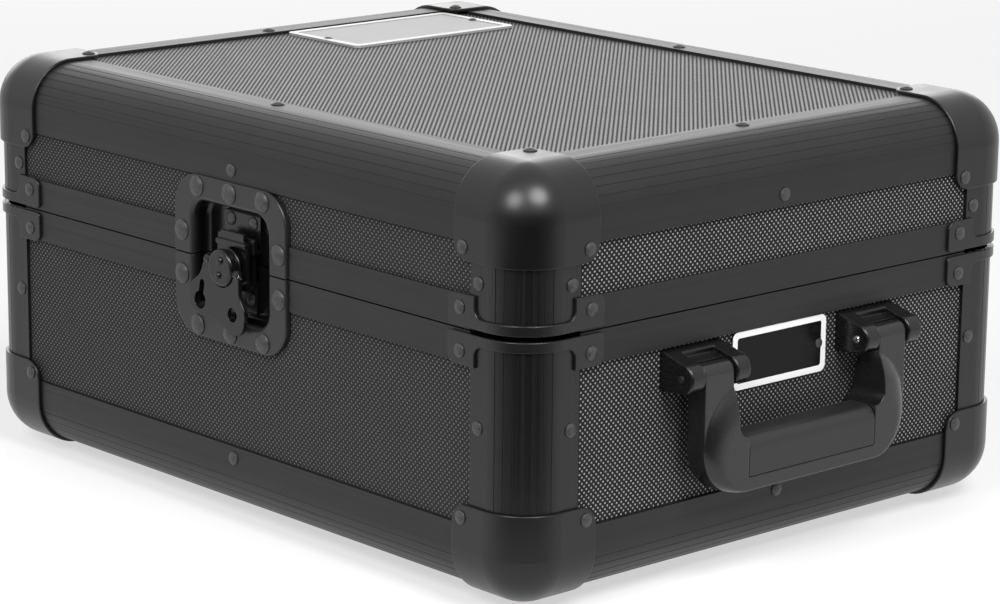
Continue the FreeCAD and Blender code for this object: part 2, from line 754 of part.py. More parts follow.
def case_rivets(fixings, lid):
    """Rivets of one half: caps, braces, posts and edge profiles."""
    face_z = TOP_Z if lid else FLOOR_Z
    inward = -1 if lid else 1
    away = Z * -inward
    seam_sign = 1 if lid else -1
    cap_z = face_z + inward * ((LID_CAP_REACH if lid else CAP_REACH) - CAP_RIVET_BACK)
    brace_z = SEAM_Z + seam_sign * BRACE_RIVET_RISE
    post_z = SEAM_Z + LID_POST_RIVET_RISE if lid else SEAM_Z - BASE_POST_RIVET_DROP
    for sx, sy in CORNERS:
        cap_x = sx * (HALF_WIDTH - CAP_RIVET_INSET)
        cap_y = sy * (HALF_DEPTH - CAP_RIVET_INSET)
        fixings.rivet(Vector(cap_x, cap_y, face_z) + away * CAP_OUT, away)
    for side in SIDES.values():
        outward = side.inward * -1
        for end in (-1, 1):
            cap_run = end * (side.half_run - CAP_RIVET_INSET)
            fixings.rivet(side.at(cap_run, -CAP_OUT, cap_z), outward)
            brace_run = end * (side.half_run - BRACE_RIVET_INSET)
            fixings.rivet(side.at(brace_run, -SEAT_GAP - BRACE_WALL, brace_z), outward)
            fixings.rivet(side.at(end * (side.half_run - POST_RIVET_INSET), 0, post_z), outward)
        fixings.rivet(side.at(0, 0, face_z + inward * EDGE_RIVET_INSET), outward)
        fixings.rivet(side.at(0, EDGE_RIVET_INSET, face_z), away)


def dish_rivets(fixings, sign):
    row_z = SEAM_Z + sign * DISH_ROW_RIVET_RISE
    for step in (-1, 0, 1):
        fixings.dish_rivet(FRONT.at(step * DISH_ROW_RIVET_PITCH, -DISH_WALL, row_z), -Y)
    for end in (-1, 1):
        seat = FRONT.at(end * DISH_SIDE_RIVET_OUT, -DISH_WALL, SEAM_Z + sign * DISH_SIDE_RIVET_RISE)
        fixings.dish_rivet(seat, -Y)


def hinge_rivets(fixings, sign):
    for middle in (-HINGE_X, HINGE_X):
        for step in (-1, 0, 1):
            run = middle + step * HINGE_RIVET_PITCH
            fixings.rivet(REAR.at(run, -HINGE_WALL, SEAM_Z + sign * HINGE_RIVET_RISE), Y)


def hinge_leaves(sign):
    """Leaves of one half: the base carries the outer knuckles, the lid the middle one and its stop."""
    leaves = []
    for middle in (-HINGE_X, HINGE_X):
        ends = (middle - HINGE_LENGTH / 2, middle + HINGE_LENGTH / 2)
        inner = (middle - HINGE_MIDDLE / 2, middle + HINGE_MIDDLE / 2)
        far_z = SEAM_Z + sign * HINGE_LEAF
        rim_z = SEAM_Z + sign * (SEAM_GAP / 2 + RIM_LEG + RIM_END_GAP)
        plate = REAR.block(ends, (-HINGE_WALL, 0), (SEAM_Z + sign * SEAM_GAP, far_z))
        seat = REAR.block(ends, (0, PROFILE_WALL), (rim_z, far_z))
        gap = HINGE_END_GAP
        outer = [(ends[0], inner[0] - gap), (inner[1] + gap, ends[1])]
        mine = [inner] if sign > 0 else outer
        others = outer if sign > 0 else [inner]
        barrels = []
        for start, end in mine:
            line = [REAR.at(run, -HINGE_OUT, SEAM_Z) for run in (start, end)]
            barrels.append(rod(*line, HINGE_KNUCKLE))
        if sign > 0:
            barrels.append(hinge_stop(inner))
        leaf = fuse(plate, seat, *barrels)
        clear = HINGE_KNUCKLE / 2 + HINGE_NOTCH_GAP
        for start, end in others:
            zone = (start - gap, end + gap)
            leaf = leaf.cut(REAR.block(zone, (-OVERRUN, OVERRUN), (SEAM_Z - clear, SEAM_Z + clear)))
        bore = rod(
            REAR.at(ends[0] - gap, -HINGE_OUT, SEAM_Z),
            REAR.at(ends[1] + gap, -HINGE_OUT, SEAM_Z),
            HINGE_PIN_DIAMETER + 2 * HINGE_PIN_PLAY,
        )
        leaves.append(leaf.cut(bore))
    return Part.makeCompound(leaves)


def hinge_stop(run):
    """A tab on the lid's knuckle, drawn where it meets the base leaf and turned back to shut."""
    depth = STOP_FACE - HINGE_OUT
    tab = REAR.block(run, (depth - HINGE_STOP_WALL, depth), (SEAM_Z - HINGE_STOP_LENGTH, SEAM_Z))
    tab.rotate(REAR.at(0, -HINGE_OUT, SEAM_Z), X, LID_RANGE)
    return tab


def hinge_pins():
    pins = []
    for middle in (-HINGE_X, HINGE_X):
        ends = [REAR.at(middle + end * HINGE_LENGTH / 2, -HINGE_OUT, SEAM_Z) for end in (-1, 1)]
        out = REAR.along * HINGE_PIN_HEAD_TALL
        shank = rod(ends[0] - out, ends[1] + out, HINGE_PIN_DIAMETER)
        heads = [rod(ends[0] - out, ends[0], HINGE_PIN_HEAD), rod(ends[1], ends[1] + out, HINGE_PIN_HEAD)]
        pins.append(fuse(shank, *heads))
    return Part.makeCompound(pins)


def keeper():
    """The catch plate in the upper dish, with a lip that turns up behind the hook."""
    base = DISH_RECESS
    lip = KEEPER_LIP_FRONT
    low = SEAM_Z + KEEPER_BOTTOM
    top = SEAM_Z + KEEPER_TOP
    points = [(lip, low), (base, low), (base, top), (base - KEEPER_WALL, top)]
    points += [(base - KEEPER_WALL, low + KEEPER_WALL), (lip + KEEPER_WALL, low + KEEPER_WALL)]
    points += [(lip + KEEPER_WALL, SEAM_Z + KEEPER_LIP_TOP), (lip, SEAM_Z + KEEPER_LIP_TOP)]
    half = KEEPER_WIDTH / 2
    return FRONT.extrude([(depth, z, 0) for depth, z in points], (-half, half))


def carrier():
    """The stepped plate in the lower dish that holds the spindle."""
    base = DISH_RECESS
    low = SEAM_Z - CARRIER_BOTTOM
    step = SEAM_Z - CARRIER_STEP
    top = SEAM_Z + CARRIER_TOP
    points = [(base, low), (base, step), (CARRIER_BACK, step), (CARRIER_BACK, top), (CARRIER_FRONT, top)]
    points += [(CARRIER_FRONT, step - CARRIER_WALL), (base - CARRIER_WALL, step - CARRIER_WALL)]
    points += [(base - CARRIER_WALL, low)]
    half = CARRIER_WIDTH / 2
    plate = FRONT.extrude([(depth, z, 0) for depth, z in points], (-half, half))
    bore = rod(
        FRONT.at(0, -OVERRUN, LATCH_Z), FRONT.at(0, OVERRUN, LATCH_Z), SPINDLE_DIAMETER + 2 * SPINDLE_PLAY
    )
    return plate.cut(bore)


def latch_point(across, depth, up):
    """A point on the latch, in the axes of the turned wings."""
    turn = math.radians(LATCH_TURN)
    run = across * math.cos(turn) + up * math.sin(turn)
    rise = up * math.cos(turn) - across * math.sin(turn)
    return FRONT.at(run, depth, LATCH_Z + rise)


def wing_pin():
    ends = [latch_point(end * WING_EAR_OUT, -WING_MIDDLE, 0) for end in (-1, 1)]
    return rod(*ends, WING_PIN_DIAMETER)


def wing_pin_bore():
    reach = WING_EAR_OUT + OVERRUN
    ends = [latch_point(end * reach, -WING_MIDDLE, 0) for end in (-1, 1)]
    return rod(*ends, WING_PIN_DIAMETER + 2 * WING_PIN_PLAY)


def spindle():
    """The twist head with its collar, cam and retained shaft."""

    def drum(front, back, diameter, drop=0.0):
        return rod(FRONT.at(0, front, LATCH_Z - drop), FRONT.at(0, back, LATCH_Z - drop), diameter)

    def disc(front, back, radius):
        face_y = FRONT.at(0, front, 0).y
        return fillet(drum(front, back, BOSS_DIAMETER), radius, lambda middle: close(middle.y, face_y))

    ring_front = -BOSS_BACK - BOSS_GROOVE_BACK
    disc_back = ring_front - BOSS_GROOVE_WIDTH
    boss = disc(-BOSS_FRONT, disc_back, BOSS_ROUND)
    groove = drum(disc_back, ring_front, BOSS_DIAMETER - 2 * BOSS_GROOVE_DEEP)
    ring = disc(ring_front, -BOSS_BACK, BOSS_RING_ROUND)
    collar = drum(-BOSS_BACK, HOOK_FRONT - COLLAR_GAP, COLLAR_DIAMETER)
    cam = drum(HOOK_FRONT - COLLAR_GAP, HOOK_BACK + COLLAR_GAP, CAM_DIAMETER, CAM_THROW)
    tail = CARRIER_BACK + COLLAR_GAP
    shaft = drum(HOOK_BACK + COLLAR_GAP, tail + SPINDLE_HEAD_TALL, SPINDLE_DIAMETER)
    head = drum(tail, tail + SPINDLE_HEAD_TALL, SPINDLE_HEAD)
    pins = []
    for end in (-1, 1):
        seat = latch_point(0, -BOSS_FRONT, end * BOSS_PIN_OUT)
        tip = seat - Y * BOSS_PIN_TALL
        pin = rod(seat + Y * BOSS_PIN_TALL, tip, BOSS_PIN_DIAMETER)
        pins.append(fillet(pin, BOSS_PIN_ROUND, lambda middle: close(middle.y, tip.y)))
    return fuse(boss, groove, ring, collar, cam, shaft, head, *pins).cut(wing_pin_bore())


def hook():
    """The sliding hook plate: a window for the cam, a step above it and a narrower head."""
    wide = HOOK_WIDTH / 2
    narrow = HOOK_HEAD_WIDTH / 2
    window_low = LATCH_Z - CAM_THROW - CAM_DIAMETER / 2 - CAM_END_GAP
    window_high = LATCH_Z - CAM_THROW + CAM_DIAMETER / 2 + CAM_END_GAP
    low = window_low - HOOK_FOOT
    head = SEAM_Z + HOOK_HEAD_BOTTOM
    top = SEAM_Z + HOOK_TOP
    right = [(wide, low, HOOK_ROUND), (wide, head, HOOK_ROUND)]
    right += [(narrow, head, HOOK_ROUND), (narrow, top, HOOK_ROUND)]
    left = [(-run, z, radius) for run, z, radius in reversed(right)]
    plate = FRONT.press(right + left, (HOOK_FRONT, HOOK_BACK))
    step_z = (SEAM_Z + HOOK_STEP_BOTTOM, head)
    step = FRONT.press(rectangle((-wide, wide), step_z, HOOK_ROUND), (-HOOK_STEP_OUT, HOOK_BACK))
    step_y = FRONT.at(0, -HOOK_STEP_OUT, 0).y
    step = fillet(step, HOOK_STEP_ROUND, lambda middle: close(middle.y, step_y))
    reach = CAM_DIAMETER / 2 + CAM_THROW + CAM_SIDE_GAP
    window = FRONT.press(rectangle((-reach, reach), (window_low, window_high)), (-OVERRUN, OVERRUN))
    return fuse(plate, step).cut(window)


def wings():
    """The folding wing plate, notched around the twist head, with an eye on each ear."""
    back = -WING_BACK
    front = -WING_BACK - WING_WALL
    ear = WING_EAR_OUT
    half = WING_HALF_WIDTH
    right = [(ear, WING_TOP, WING_EAR_ROUND), (*WING_SHOULDER, WING_SHOULDER_ROUND)]
    right += [(half, WING_LOBE_TOP, WING_LOBE_ROUND), (half, WING_BOTTOM, WING_LOBE_ROUND)]
    right += [(half / 2, WING_BOTTOM, WING_SADDLE_END_ROUND)]
    left = [(-across, up, radius) for across, up, radius in reversed(right)]
    outline = right + [(0, WING_SADDLE, WING_SADDLE_ROUND)] + left
    plate = rounded_face(lambda across, up: latch_point(across, back, up), outline)
    plate = plate.extrude(Y * (front - back))
    face_y = FRONT.at(0, front, 0).y
    plate = fillet(plate, WING_EDGE_ROUND, lambda middle: close(middle.y, face_y))
    eyes = []
    for end in (-1, 1):
        inner = latch_point(end * WING_EAR_IN, -WING_MIDDLE, 0)
        eyes.append(rod(inner, latch_point(end * ear, -WING_MIDDLE, 0), WING_EYE_DIAMETER))

    def bore(across, up, diameter):
        return rod(latch_point(across, -OVERRUN, up), latch_point(across, OVERRUN, up), diameter)

    across, up = WING_KEYHOLE
    slot_half = WING_KEYHOLE_SLOT / 2
    slot_end = WING_KEYHOLE_TOP - slot_half
    slot = rectangle((across - slot_half, across + slot_half), (up, slot_end))
    slot = rounded_face(lambda a, b: latch_point(a, -OVERRUN, b), slot).extrude(Y * 2 * OVERRUN)
    cuts = [bore(0, 0, 2 * WING_EAR_IN), bore(*WING_HOLE, WING_HOLE_DIAMETER)]
    cuts += [bore(across, up, WING_KEYHOLE_DIAMETER), slot, bore(across, slot_end, WING_KEYHOLE_SLOT)]
    plate = plate.cut(cuts)
    return fuse(plate, *eyes).cut(wing_pin_bore())


def bracket(middle):
    """One clevis bracket of the handle, with a sunk top plate between its lugs."""
    run = (middle - BRACKET_WIDTH / 2, middle + BRACKET_WIDTH / 2)
    slot = (middle - BRACKET_SLOT / 2, middle + BRACKET_SLOT / 2)
    nose = BRACKET_NOSE / 2
    out = -HANDLE_PIVOT_OUT
    far = out - OVERRUN
    low = PIVOT_Z - BRACKET_FALL
    top = PIVOT_Z + BRACKET_RISE
    outline = Outline(lambda depth, z: RIGHT.at(run[0], depth, z), PROFILE_WALL, low)
    outline.line(out, PIVOT_Z - nose)
    outline.arc((out - nose, PIVOT_Z), (out, PIVOT_Z + nose))
    outline.line(PROFILE_WALL, top)
    body = outline.face().extrude(RIGHT.along * BRACKET_WIDTH)
    seat_x = RIGHT.at(0, PROFILE_WALL, 0).x

    def on_end(point):
        return (close(point.y, run[0]) or close(point.y, run[1])) and not close(point.x, seat_x)

    body = ease(body, BRACKET_ROUND, on_end)
    slope = (BRACKET_RISE - nose) / (PROFILE_WALL - out)

    def plate_z(depth):
        return top - slope * (PROFILE_WALL - depth) - BRACKET_RECESS_DEEP

    recess = [(-BRACKET_RECESS_OUT, plate_z(-BRACKET_RECESS_OUT), 0), (far, plate_z(far), 0)]
    recess += [(far, top + OVERRUN, 0), (-BRACKET_RECESS_OUT, top + OVERRUN, 0)]
    swing = LEG_THICK / 2 + BRACKET_SWING_GAP
    round_space = rod(RIGHT.at(slot[0], out, PIVOT_Z), RIGHT.at(slot[1], out, PIVOT_Z), 2 * swing)
    below = RIGHT.block(slot, (far, out + swing), (low - OVERRUN, PIVOT_Z))
    ahead = RIGHT.block(slot, (far, out), (low - OVERRUN, top + OVERRUN))
    body = body.cut([RIGHT.extrude(recess, slot), round_space, below, ahead])

    def on_lip(point):
        depth = PROFILE_WALL + seat_x - point.x
        on_top = close(point.z, top - slope * (PROFILE_WALL - depth))
        on_nose = depth < out and close(math.hypot(depth - out, point.z - PIVOT_Z), nose)
        at_side = close(point.y, slot[0]) or close(point.y, slot[1])
        return (on_top or on_nose) and (at_side or close(depth, -BRACKET_RECESS_OUT))

    body = ease(body, BRACKET_LIP_ROUND, on_lip)
    return body.cut(handle_pin(middle, HANDLE_PIN_PLAY))


def handle_pin(middle, play=0.0):
    reach = BRACKET_WIDTH / 2 + (OVERRUN / 10 if play else HANDLE_PIN_PROUD)
    ends = [RIGHT.at(middle + end * reach, -HANDLE_PIVOT_OUT, PIVOT_Z) for end in (-1, 1)]
    return rod(ends[0], ends[1], HANDLE_PIN_DIAMETER + 2 * play)


def handle_screws(fixings):
    """Pan-head screws from inside, through the panel into each lug of the brackets."""
    lug = (BRACKET_WIDTH + BRACKET_SLOT) / 4
    height = PIVOT_Z + (BRACKET_RISE - BRACKET_FALL) / 2
    for middle in (-HANDLE_SPAN, HANDLE_SPAN):
        for end in (-1, 1):
            run = middle + end * lug
            seat = RIGHT.at(run, PANEL_IN, height)
            tip = RIGHT.at(run, PROFILE_WALL - HANDLE_SCREW_BITE, height)
            back = RIGHT.at(run, PANEL_IN + HANDLE_SCREW_HEAD_TALL, height)
            solid = fuse(rod(seat, back, HANDLE_SCREW_HEAD), rod(back, tip, HANDLE_SCREW_SHANK))
            fixings.add(solid, rod(back, tip + X * RIVET_PLAY, HANDLE_SCREW_SHANK + 2 * RIVET_PLAY))


def bail_bulge(side):
    """The swelling of the bar on one side of the bail; side is 1 outwards and -1 towards the case."""
    sections = []
    rise = (GRIP_THICK - LEG_THICK) / 2
    for step in range(BULGE_STEPS):
        inset = step / (BULGE_STEPS - 1)
        swell = 1 - (1 - inset) ** BULGE_POWER
        half = LEG_OUTER - BULGE_SIDE_INSET * inset
        low = BAIL_BOTTOM_Z + BULGE_BOTTOM_INSET * inset
        high = PIVOT_Z - BULGE_TOP_DROP - BULGE_TOP_INSET * inset
        low_round = BAIL_ROUND + (CROWN_ROUND - BAIL_ROUND) * inset
        high_round = BULGE_TOP_ROUND + (CROWN_ROUND - BULGE_TOP_ROUND) * inset
        corners = [(-half, low, low_round), (half, low, low_round)]
        corners += [(half, high, high_round), (-half, high, high_round)]
        depth = -HANDLE_PIVOT_OUT - side * (LEG_THICK / 2 + rise * swell)
        face = rounded_face(lambda run, z: RIGHT.at(run, depth, z), corners)
        sections.append(face.OuterWire)
    return Part.makeLoft(sections, True, True)


def handle_parts():
    """The bail, a flat frame with a swollen bar, cut to carry the grip that saddles the bar."""
    out = -HANDLE_PIVOT_OUT
    bottom = BAIL_BOTTOM_Z
    thin = LEG_THICK / 2
    thick = GRIP_THICK / 2
    tall = PIVOT_Z + OVERRUN
    outline = [(-LEG_OUTER, bottom, BAIL_ROUND), (LEG_OUTER, bottom, BAIL_ROUND)]
    outline += [(LEG_OUTER, PIVOT_Z, 0), (-LEG_OUTER, PIVOT_Z, 0)]
    frame = RIGHT.press(outline, (out - thin, out + thin))
    roots = rod(RIGHT.at(-LEG_OUTER, out, PIVOT_Z), RIGHT.at(LEG_OUTER, out, PIVOT_Z), LEG_THICK)
    frame = fuse(frame, roots, bail_bulge(1), bail_bulge(-1))
    hand_space = [(-LEG_INNER, GRIP_TOP_Z, BAIL_INNER_ROUND), (LEG_INNER, GRIP_TOP_Z, BAIL_INNER_ROUND)]
    hand_space += [(LEG_INNER, tall, 0), (-LEG_INNER, tall, 0)]
    frame = frame.cut(RIGHT.press(hand_space, (out - OVERRUN, out + OVERRUN)))
    ledge = bottom + GRIP_LEDGE
    grip_run = (-GRIP_HALF_LENGTH, GRIP_HALF_LENGTH)
    seam_run = (-GRIP_HALF_LENGTH - GRIP_SEAM, GRIP_HALF_LENGTH + GRIP_SEAM)
    core_depth = (out - thick + GRIP_WALL, out + thick - GRIP_WALL)
    core = RIGHT.block(seam_run, core_depth, (ledge - GRIP_SEAM, GRIP_TOP_Z - GRIP_WALL))
    space = RIGHT.block(seam_run, (out - OVERRUN, out + OVERRUN), (ledge - GRIP_SEAM, tall))
    bail = fuse(frame.cut(space), core)
    bores = [handle_pin(middle, HANDLE_PIN_PLAY) for middle in (-HANDLE_SPAN, HANDLE_SPAN)]
    saddle = [(out - thick, ledge, 0), (out + thick, ledge, 0)]
    saddle += [(out + thick, GRIP_TOP_Z, GRIP_ROUND), (out - thick, GRIP_TOP_Z, GRIP_ROUND)]
    return bail.cut(bores), RIGHT.extrude(saddle, grip_run).cut(core)


def feet(fixings):
    """Tapered rubber feet, each with a sunk screw into the floor panel."""
    seat = FLOOR_Z + PROFILE_WALL
    solids = []
    for sx, sy in CORNERS:
        spot = Vector(sx * (HALF_WIDTH - FOOT_INSET_X), sy * (HALF_DEPTH - FOOT_INSET_Y), 0)
        foot = Part.makeCone(FOOT_BOTTOM / 2, FOOT_TOP / 2, seat, spot, Z)
        sink = spot + Z * FOOT_SCREW_SINK
        shelf = sink + Z * FOOT_SCREW_HEAD_TALL
        tip = spot + Z * (seat + FOOT_SCREW_BITE)
        hole = rod(shelf - Z * RIVET_PLAY, tip + Z * RIVET_PLAY, FOOT_SCREW_SHANK + 2 * RIVET_PLAY)
        recess = rod(spot - Z * OVERRUN, shelf, FOOT_SCREW_HEAD + 2 * RIVET_PLAY)
        solids.append(foot.cut([hole, recess]))
        screw = fuse(rod(sink, shelf, FOOT_SCREW_HEAD), rod(sink, tip, FOOT_SCREW_SHANK))
        fixings.add(screw, hole)
    return Part.makeCompound(solids)


def level_panel(z):
    x = HALF_WIDTH - PANEL_EDGE
    y = HALF_DEPTH - PANEL_EDGE
    return block((-x, x), (-y, y), z)


def side_panel(side, z):
    run = side.half_run - PANEL_EDGE
    return side.block((-run, run), (PROFILE_WALL, PANEL_IN), z)


def badge_plate(place, width, height):
    return rounded_face(place, rectangle((-width / 2, width / 2), (-height / 2, height / 2), PLATE_ROUND))


def gather_fixings():
    """Every rivet and screw, so that holes are drilled through what it passes."""
    sets = {name: Fixings() for name in ("base_rivets", "lid_rivets", "latch_lower_rivets")}
    sets.update({name: Fixings() for name in ("latch_upper_rivets", "handle_screws", "foot_screws")})
    case_rivets(sets["base_rivets"], lid=False)
    case_rivets(sets["lid_rivets"], lid=True)
    hinge_rivets(sets["base_rivets"], -1)
    hinge_rivets(sets["lid_rivets"], 1)
    dish_rivets(sets["latch_lower_rivets"], -1)
    dish_rivets(sets["latch_upper_rivets"], 1)
    for end in (-1, 1):
        carrier_z = SEAM_Z - CARRIER_BOTTOM + CARRIER_RIVET_BACK
        seat = FRONT.at(end * CARRIER_RIVET_OUT, DISH_RECESS - CARRIER_WALL, carrier_z)
        sets["latch_lower_rivets"].small_rivet(seat, -Y)
        keeper_z = SEAM_Z + KEEPER_TOP - KEEPER_RIVET_BACK
        seat = FRONT.at(end * KEEPER_RIVET_OUT, DISH_RECESS - KEEPER_WALL, keeper_z)
        sets["latch_upper_rivets"].small_rivet(seat, -Y)
        seat = RIGHT.at(end * (LABEL_LENGTH / 2 - PLATE_RIVET_INSET), PROFILE_WALL - PLATE_WALL, LABEL_Z)
        sets["base_rivets"].plate_rivet(seat, X)
        badge_y = BADGE_Y + end * (BADGE_LENGTH / 2 - PLATE_RIVET_INSET)
        seat = Vector(BADGE_X, badge_y, TOP_Z - PROFILE_WALL + PLATE_WALL)
        sets["lid_rivets"].plate_rivet(seat, Z)
    handle_screws(sets["handle_screws"])
    foot_shapes = feet(sets["foot_screws"])
    return sets, foot_shapes


def build_base(dish, foot_shapes):
    keep("base_floor_panel", level_panel((FLOOR_Z + PROFILE_WALL, FLOOR_Z + PANEL_IN)), "base")
    panel_z = (FLOOR_Z + PANEL_EDGE, BASE_SEAM_Z - BASE_RIM_WEB)
    for name, side in SIDES.items():
        panel = side_panel(side, panel_z)
        rim = base_rim(side)
        if side is FRONT:
            panel = panel.cut(latch_opening())
            rim = rim.cut(latch_opening())
        keep(f"base_{name}_panel", panel, "base")
        keep(f"base_{name}_rim", rim, "base")
        keep(f"base_{name}_edge", edge_profile(side, FLOOR_Z, Z), "base")
    keep("base_corner_posts", corner_posts((FLOOR_Z + PROFILE_END, BASE_SEAM_Z - POST_SEAM_GAP)), "base")
    keep("base_corner_caps", four_corners(corner_cap(CAP_REACH), (FLOOR_Z + TOP_Z) / 2), "base")
    keep("base_corner_braces", four_corners(corner_brace(), SEAM_Z), "base")
    keep("rubber_feet", foot_shapes)
    keep("latch_lower_dish", dish, "base")
    keep("latch_carrier", carrier(), "base")
    keep("hinge_base_leaves", hinge_leaves(-1), "base")
    keep("hinge_pins", hinge_pins())
    brackets = [bracket(middle) for middle in (-HANDLE_SPAN, HANDLE_SPAN)]
    keep("handle_brackets", Part.makeCompound(brackets), "base")
    pins = [handle_pin(middle) for middle in (-HANDLE_SPAN, HANDLE_SPAN)]
    keep("handle_pins", Part.makeCompound(pins))
    label = badge_plate(lambda a, b: RIGHT.at(a, PROFILE_WALL, LABEL_Z + b), LABEL_LENGTH, LABEL_HEIGHT)
    keep("handle_label", label.extrude(X * PLATE_WALL), "base")


def build_foam():
    x = HALF_WIDTH - FOAM_IN
    y = HALF_DEPTH - FOAM_IN
    low = FLOOR_Z + LINER_IN + FOAM_FLOOR_GAP
    pad_top = low + FOAM_PAD
    keep("base_foam_pad", block((-x, x), (-y, y), (low, pad_top)))
    frame = block((-x, x), (-y, y), (pad_top, BASE_SEAM_Z - FOAM_SEAM_GAP))
    pocket = rectangle((-x + FOAM_SIDE, x - FOAM_SIDE), (-y + FOAM_SIDE, y - FOAM_SIDE), FOAM_POCKET_ROUND)
    pocket = rounded_face(lambda a, b: Vector(a, b, low), pocket).extrude(Z * CASE_HEIGHT)
    keep("base_foam_frame", frame.cut(pocket))
    lid_top = TOP_Z - LINER_IN - FOAM_FLOOR_GAP
    keep("lid_foam", block((-x, x), (-y, y), (lid_top - LID_FOAM_THICK, lid_top)))


def build_lid(dish):
    keep("lid_top_panel", level_panel((TOP_Z - PANEL_IN, TOP_Z - PROFILE_WALL)), "lid")
    panel_z = (LID_SEAM_Z + LID_RIM_WEB, TOP_Z - PANEL_EDGE)
    for name, side in SIDES.items():
        panel = side_panel(side, panel_z)
        rim = lid_rim(side)
        if side is FRONT:
            panel = panel.cut(latch_opening())
            rim = rim.cut(latch_opening())
        keep(f"lid_{name}_panel", panel, "lid")
        keep(f"lid_{name}_rim", rim, "lid")
        keep(f"lid_{name}_edge", edge_profile(side, TOP_Z, -Z), "lid")
    keep("lid_corner_posts", corner_posts((LID_SEAM_Z + POST_SEAM_GAP, TOP_Z - PROFILE_END)), "lid")
    keep("lid_corner_caps", four_corners(corner_cap(LID_CAP_REACH)), "lid")
    keep("lid_corner_braces", four_corners(corner_brace()), "lid")
    keep("latch_upper_dish", dish, "lid")
    keep("latch_keeper", keeper(), "lid")
    keep("hinge_lid_leaves", hinge_leaves(1), "lid")
    spot = Vector(BADGE_X, BADGE_Y, TOP_Z - PROFILE_WALL)
    badge = badge_plate(lambda a, b: spot + X * a + Y * b, BADGE_WIDTH, BADGE_LENGTH)
    keep("lid_badge", badge.extrude(Z * PLATE_WALL), "lid")


def build():
    sets, foot_shapes = gather_fixings()
    for name in ("base_rivets", "latch_lower_rivets", "handle_screws", "foot_screws"):
        DRILLED["base"] += sets[name].holes
    for name in ("lid_rivets", "latch_upper_rivets"):
        DRILLED["lid"] += sets[name].holes
    lower_dish, upper_dish = latch_dishes()
    build_base(lower_dish, foot_shapes)
    build_lid(upper_dish)
    build_foam()
    for name, fixings in sets.items():
        keep(name, Part.makeCompound(fixings.solids))
    keep("latch_spindle", spindle())
    keep("latch_wing_pin", wing_pin())
    keep("latch_wings", wings())
    keep("latch_hook", hook())
    bail, grip = handle_parts()
    keep("handle_bail", bail)
    keep("handle_grip", grip)


def write():
    os.makedirs("parts", exist_ok=True)
    for name, solids in NODES.items():
        shape = solids[0] if len(solids) == 1 else Part.makeCompound(solids)
        shape.translate(ORIGIN_SHIFT)
        shape.exportStep(f"parts/{name}.step")
    places = {
        "lid": REAR.at(0, -HINGE_OUT, SEAM_Z),
        "handle": RIGHT.at(0, -HANDLE_PIVOT_OUT, PIVOT_Z),
        "twist": FRONT.at(0, 0, LATCH_Z),
        "fold": latch_point(0, -WING_MIDDLE, 0),
        "fold axis": latch_point(1, 0, 0) - latch_point(0, 0, 0) - ORIGIN_SHIFT,
        "hook": FRONT.at(0, HOOK_FRONT, LATCH_Z),
    }
    for name, place in places.items():
        print(name, [round(value, 4) for value in place + ORIGIN_SHIFT])
    print(len(NODES), "nodes")


build()
write()
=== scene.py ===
"""Finishes, foam lining, plate frames, studio light and camera for the black flight case."""
import math

import bmesh
import bpy
from mathutils import Matrix, Vector


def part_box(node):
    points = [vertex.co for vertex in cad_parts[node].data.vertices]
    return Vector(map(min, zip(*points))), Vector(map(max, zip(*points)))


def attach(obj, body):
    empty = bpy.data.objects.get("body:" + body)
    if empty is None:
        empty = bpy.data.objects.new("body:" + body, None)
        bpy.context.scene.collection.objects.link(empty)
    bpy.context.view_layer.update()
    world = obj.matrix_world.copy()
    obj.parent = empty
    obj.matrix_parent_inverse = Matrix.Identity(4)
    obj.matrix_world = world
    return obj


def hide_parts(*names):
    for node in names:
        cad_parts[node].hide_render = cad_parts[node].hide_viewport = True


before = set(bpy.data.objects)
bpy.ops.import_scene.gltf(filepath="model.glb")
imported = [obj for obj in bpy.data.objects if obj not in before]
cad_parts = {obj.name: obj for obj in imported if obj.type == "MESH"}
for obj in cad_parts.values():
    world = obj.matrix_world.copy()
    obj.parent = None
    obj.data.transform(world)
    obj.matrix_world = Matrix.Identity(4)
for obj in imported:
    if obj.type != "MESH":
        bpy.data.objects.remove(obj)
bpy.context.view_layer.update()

MM = 0.001
X, Y, Z = range(3)
SIDES = ("front", "rear", "left", "right")

# Camera: the photograph's view, with its image taken as 1000 by 604 pixels
IMAGE_WIDTH = 1000
IMAGE_HEIGHT = 604
FOCAL_PIXELS = 3511.5
OPTICAL_CENTRE = (506.13, 336.385)
SENSOR_WIDTH = 36.0
CAMERA_AZIMUTH = math.radians(47.719)
CAMERA_ELEVATION = math.radians(14.04)
CAMERA_ROLL = math.radians(0.596)
CAMERA_FROM_CASE = Vector((1.133777, -1.018874, 0.436406))
CLIP_START = 0.01

# Textures: values whose names end in SCALE are cells per metre; most of a noise lies between low and high
NOISE_LOW = 0.3
NOISE_HIGH = 0.7
EDGE_SAMPLES = 4
EDGE_ROUND = 0.25 * MM

# Laminate: raised dots on a diagonal lattice
DOT_PITCH = 2.56 * MM
DOT_RISE = 0.12 * MM
DOT_FOOT = 0.1
DOT_ROUGHNESS = 0.30
GAP_ROUGHNESS = 0.85
LAMINATE_PATCH_SCALE = 60.0
LAMINATE_GRAIN_SCALE = 1800.0
LAMINATE_GRAIN_DEEP = 0.02 * MM

# Edge profiles: anodised black with the lines of the drawing die
PROFILE_DARK = 0.003
PROFILE_LIGHT = 0.007
DRAWN_SCALE = 900.0
DRAWN_STRETCH = 0.006
DRAWN_DEEP = 0.02 * MM
PROFILE_CLOUD_SCALE = 35.0

# Paint: orange peel, and clouds that are darker and lighter than the paint by these factors
PEEL_SCALE = 700.0
PEEL_DEEP = 0.012 * MM
PAINT_CLOUD_SCALE = 45.0
PAINT_CLOUD_DARK = 0.8
PAINT_CLOUD_LIGHT = 1.25

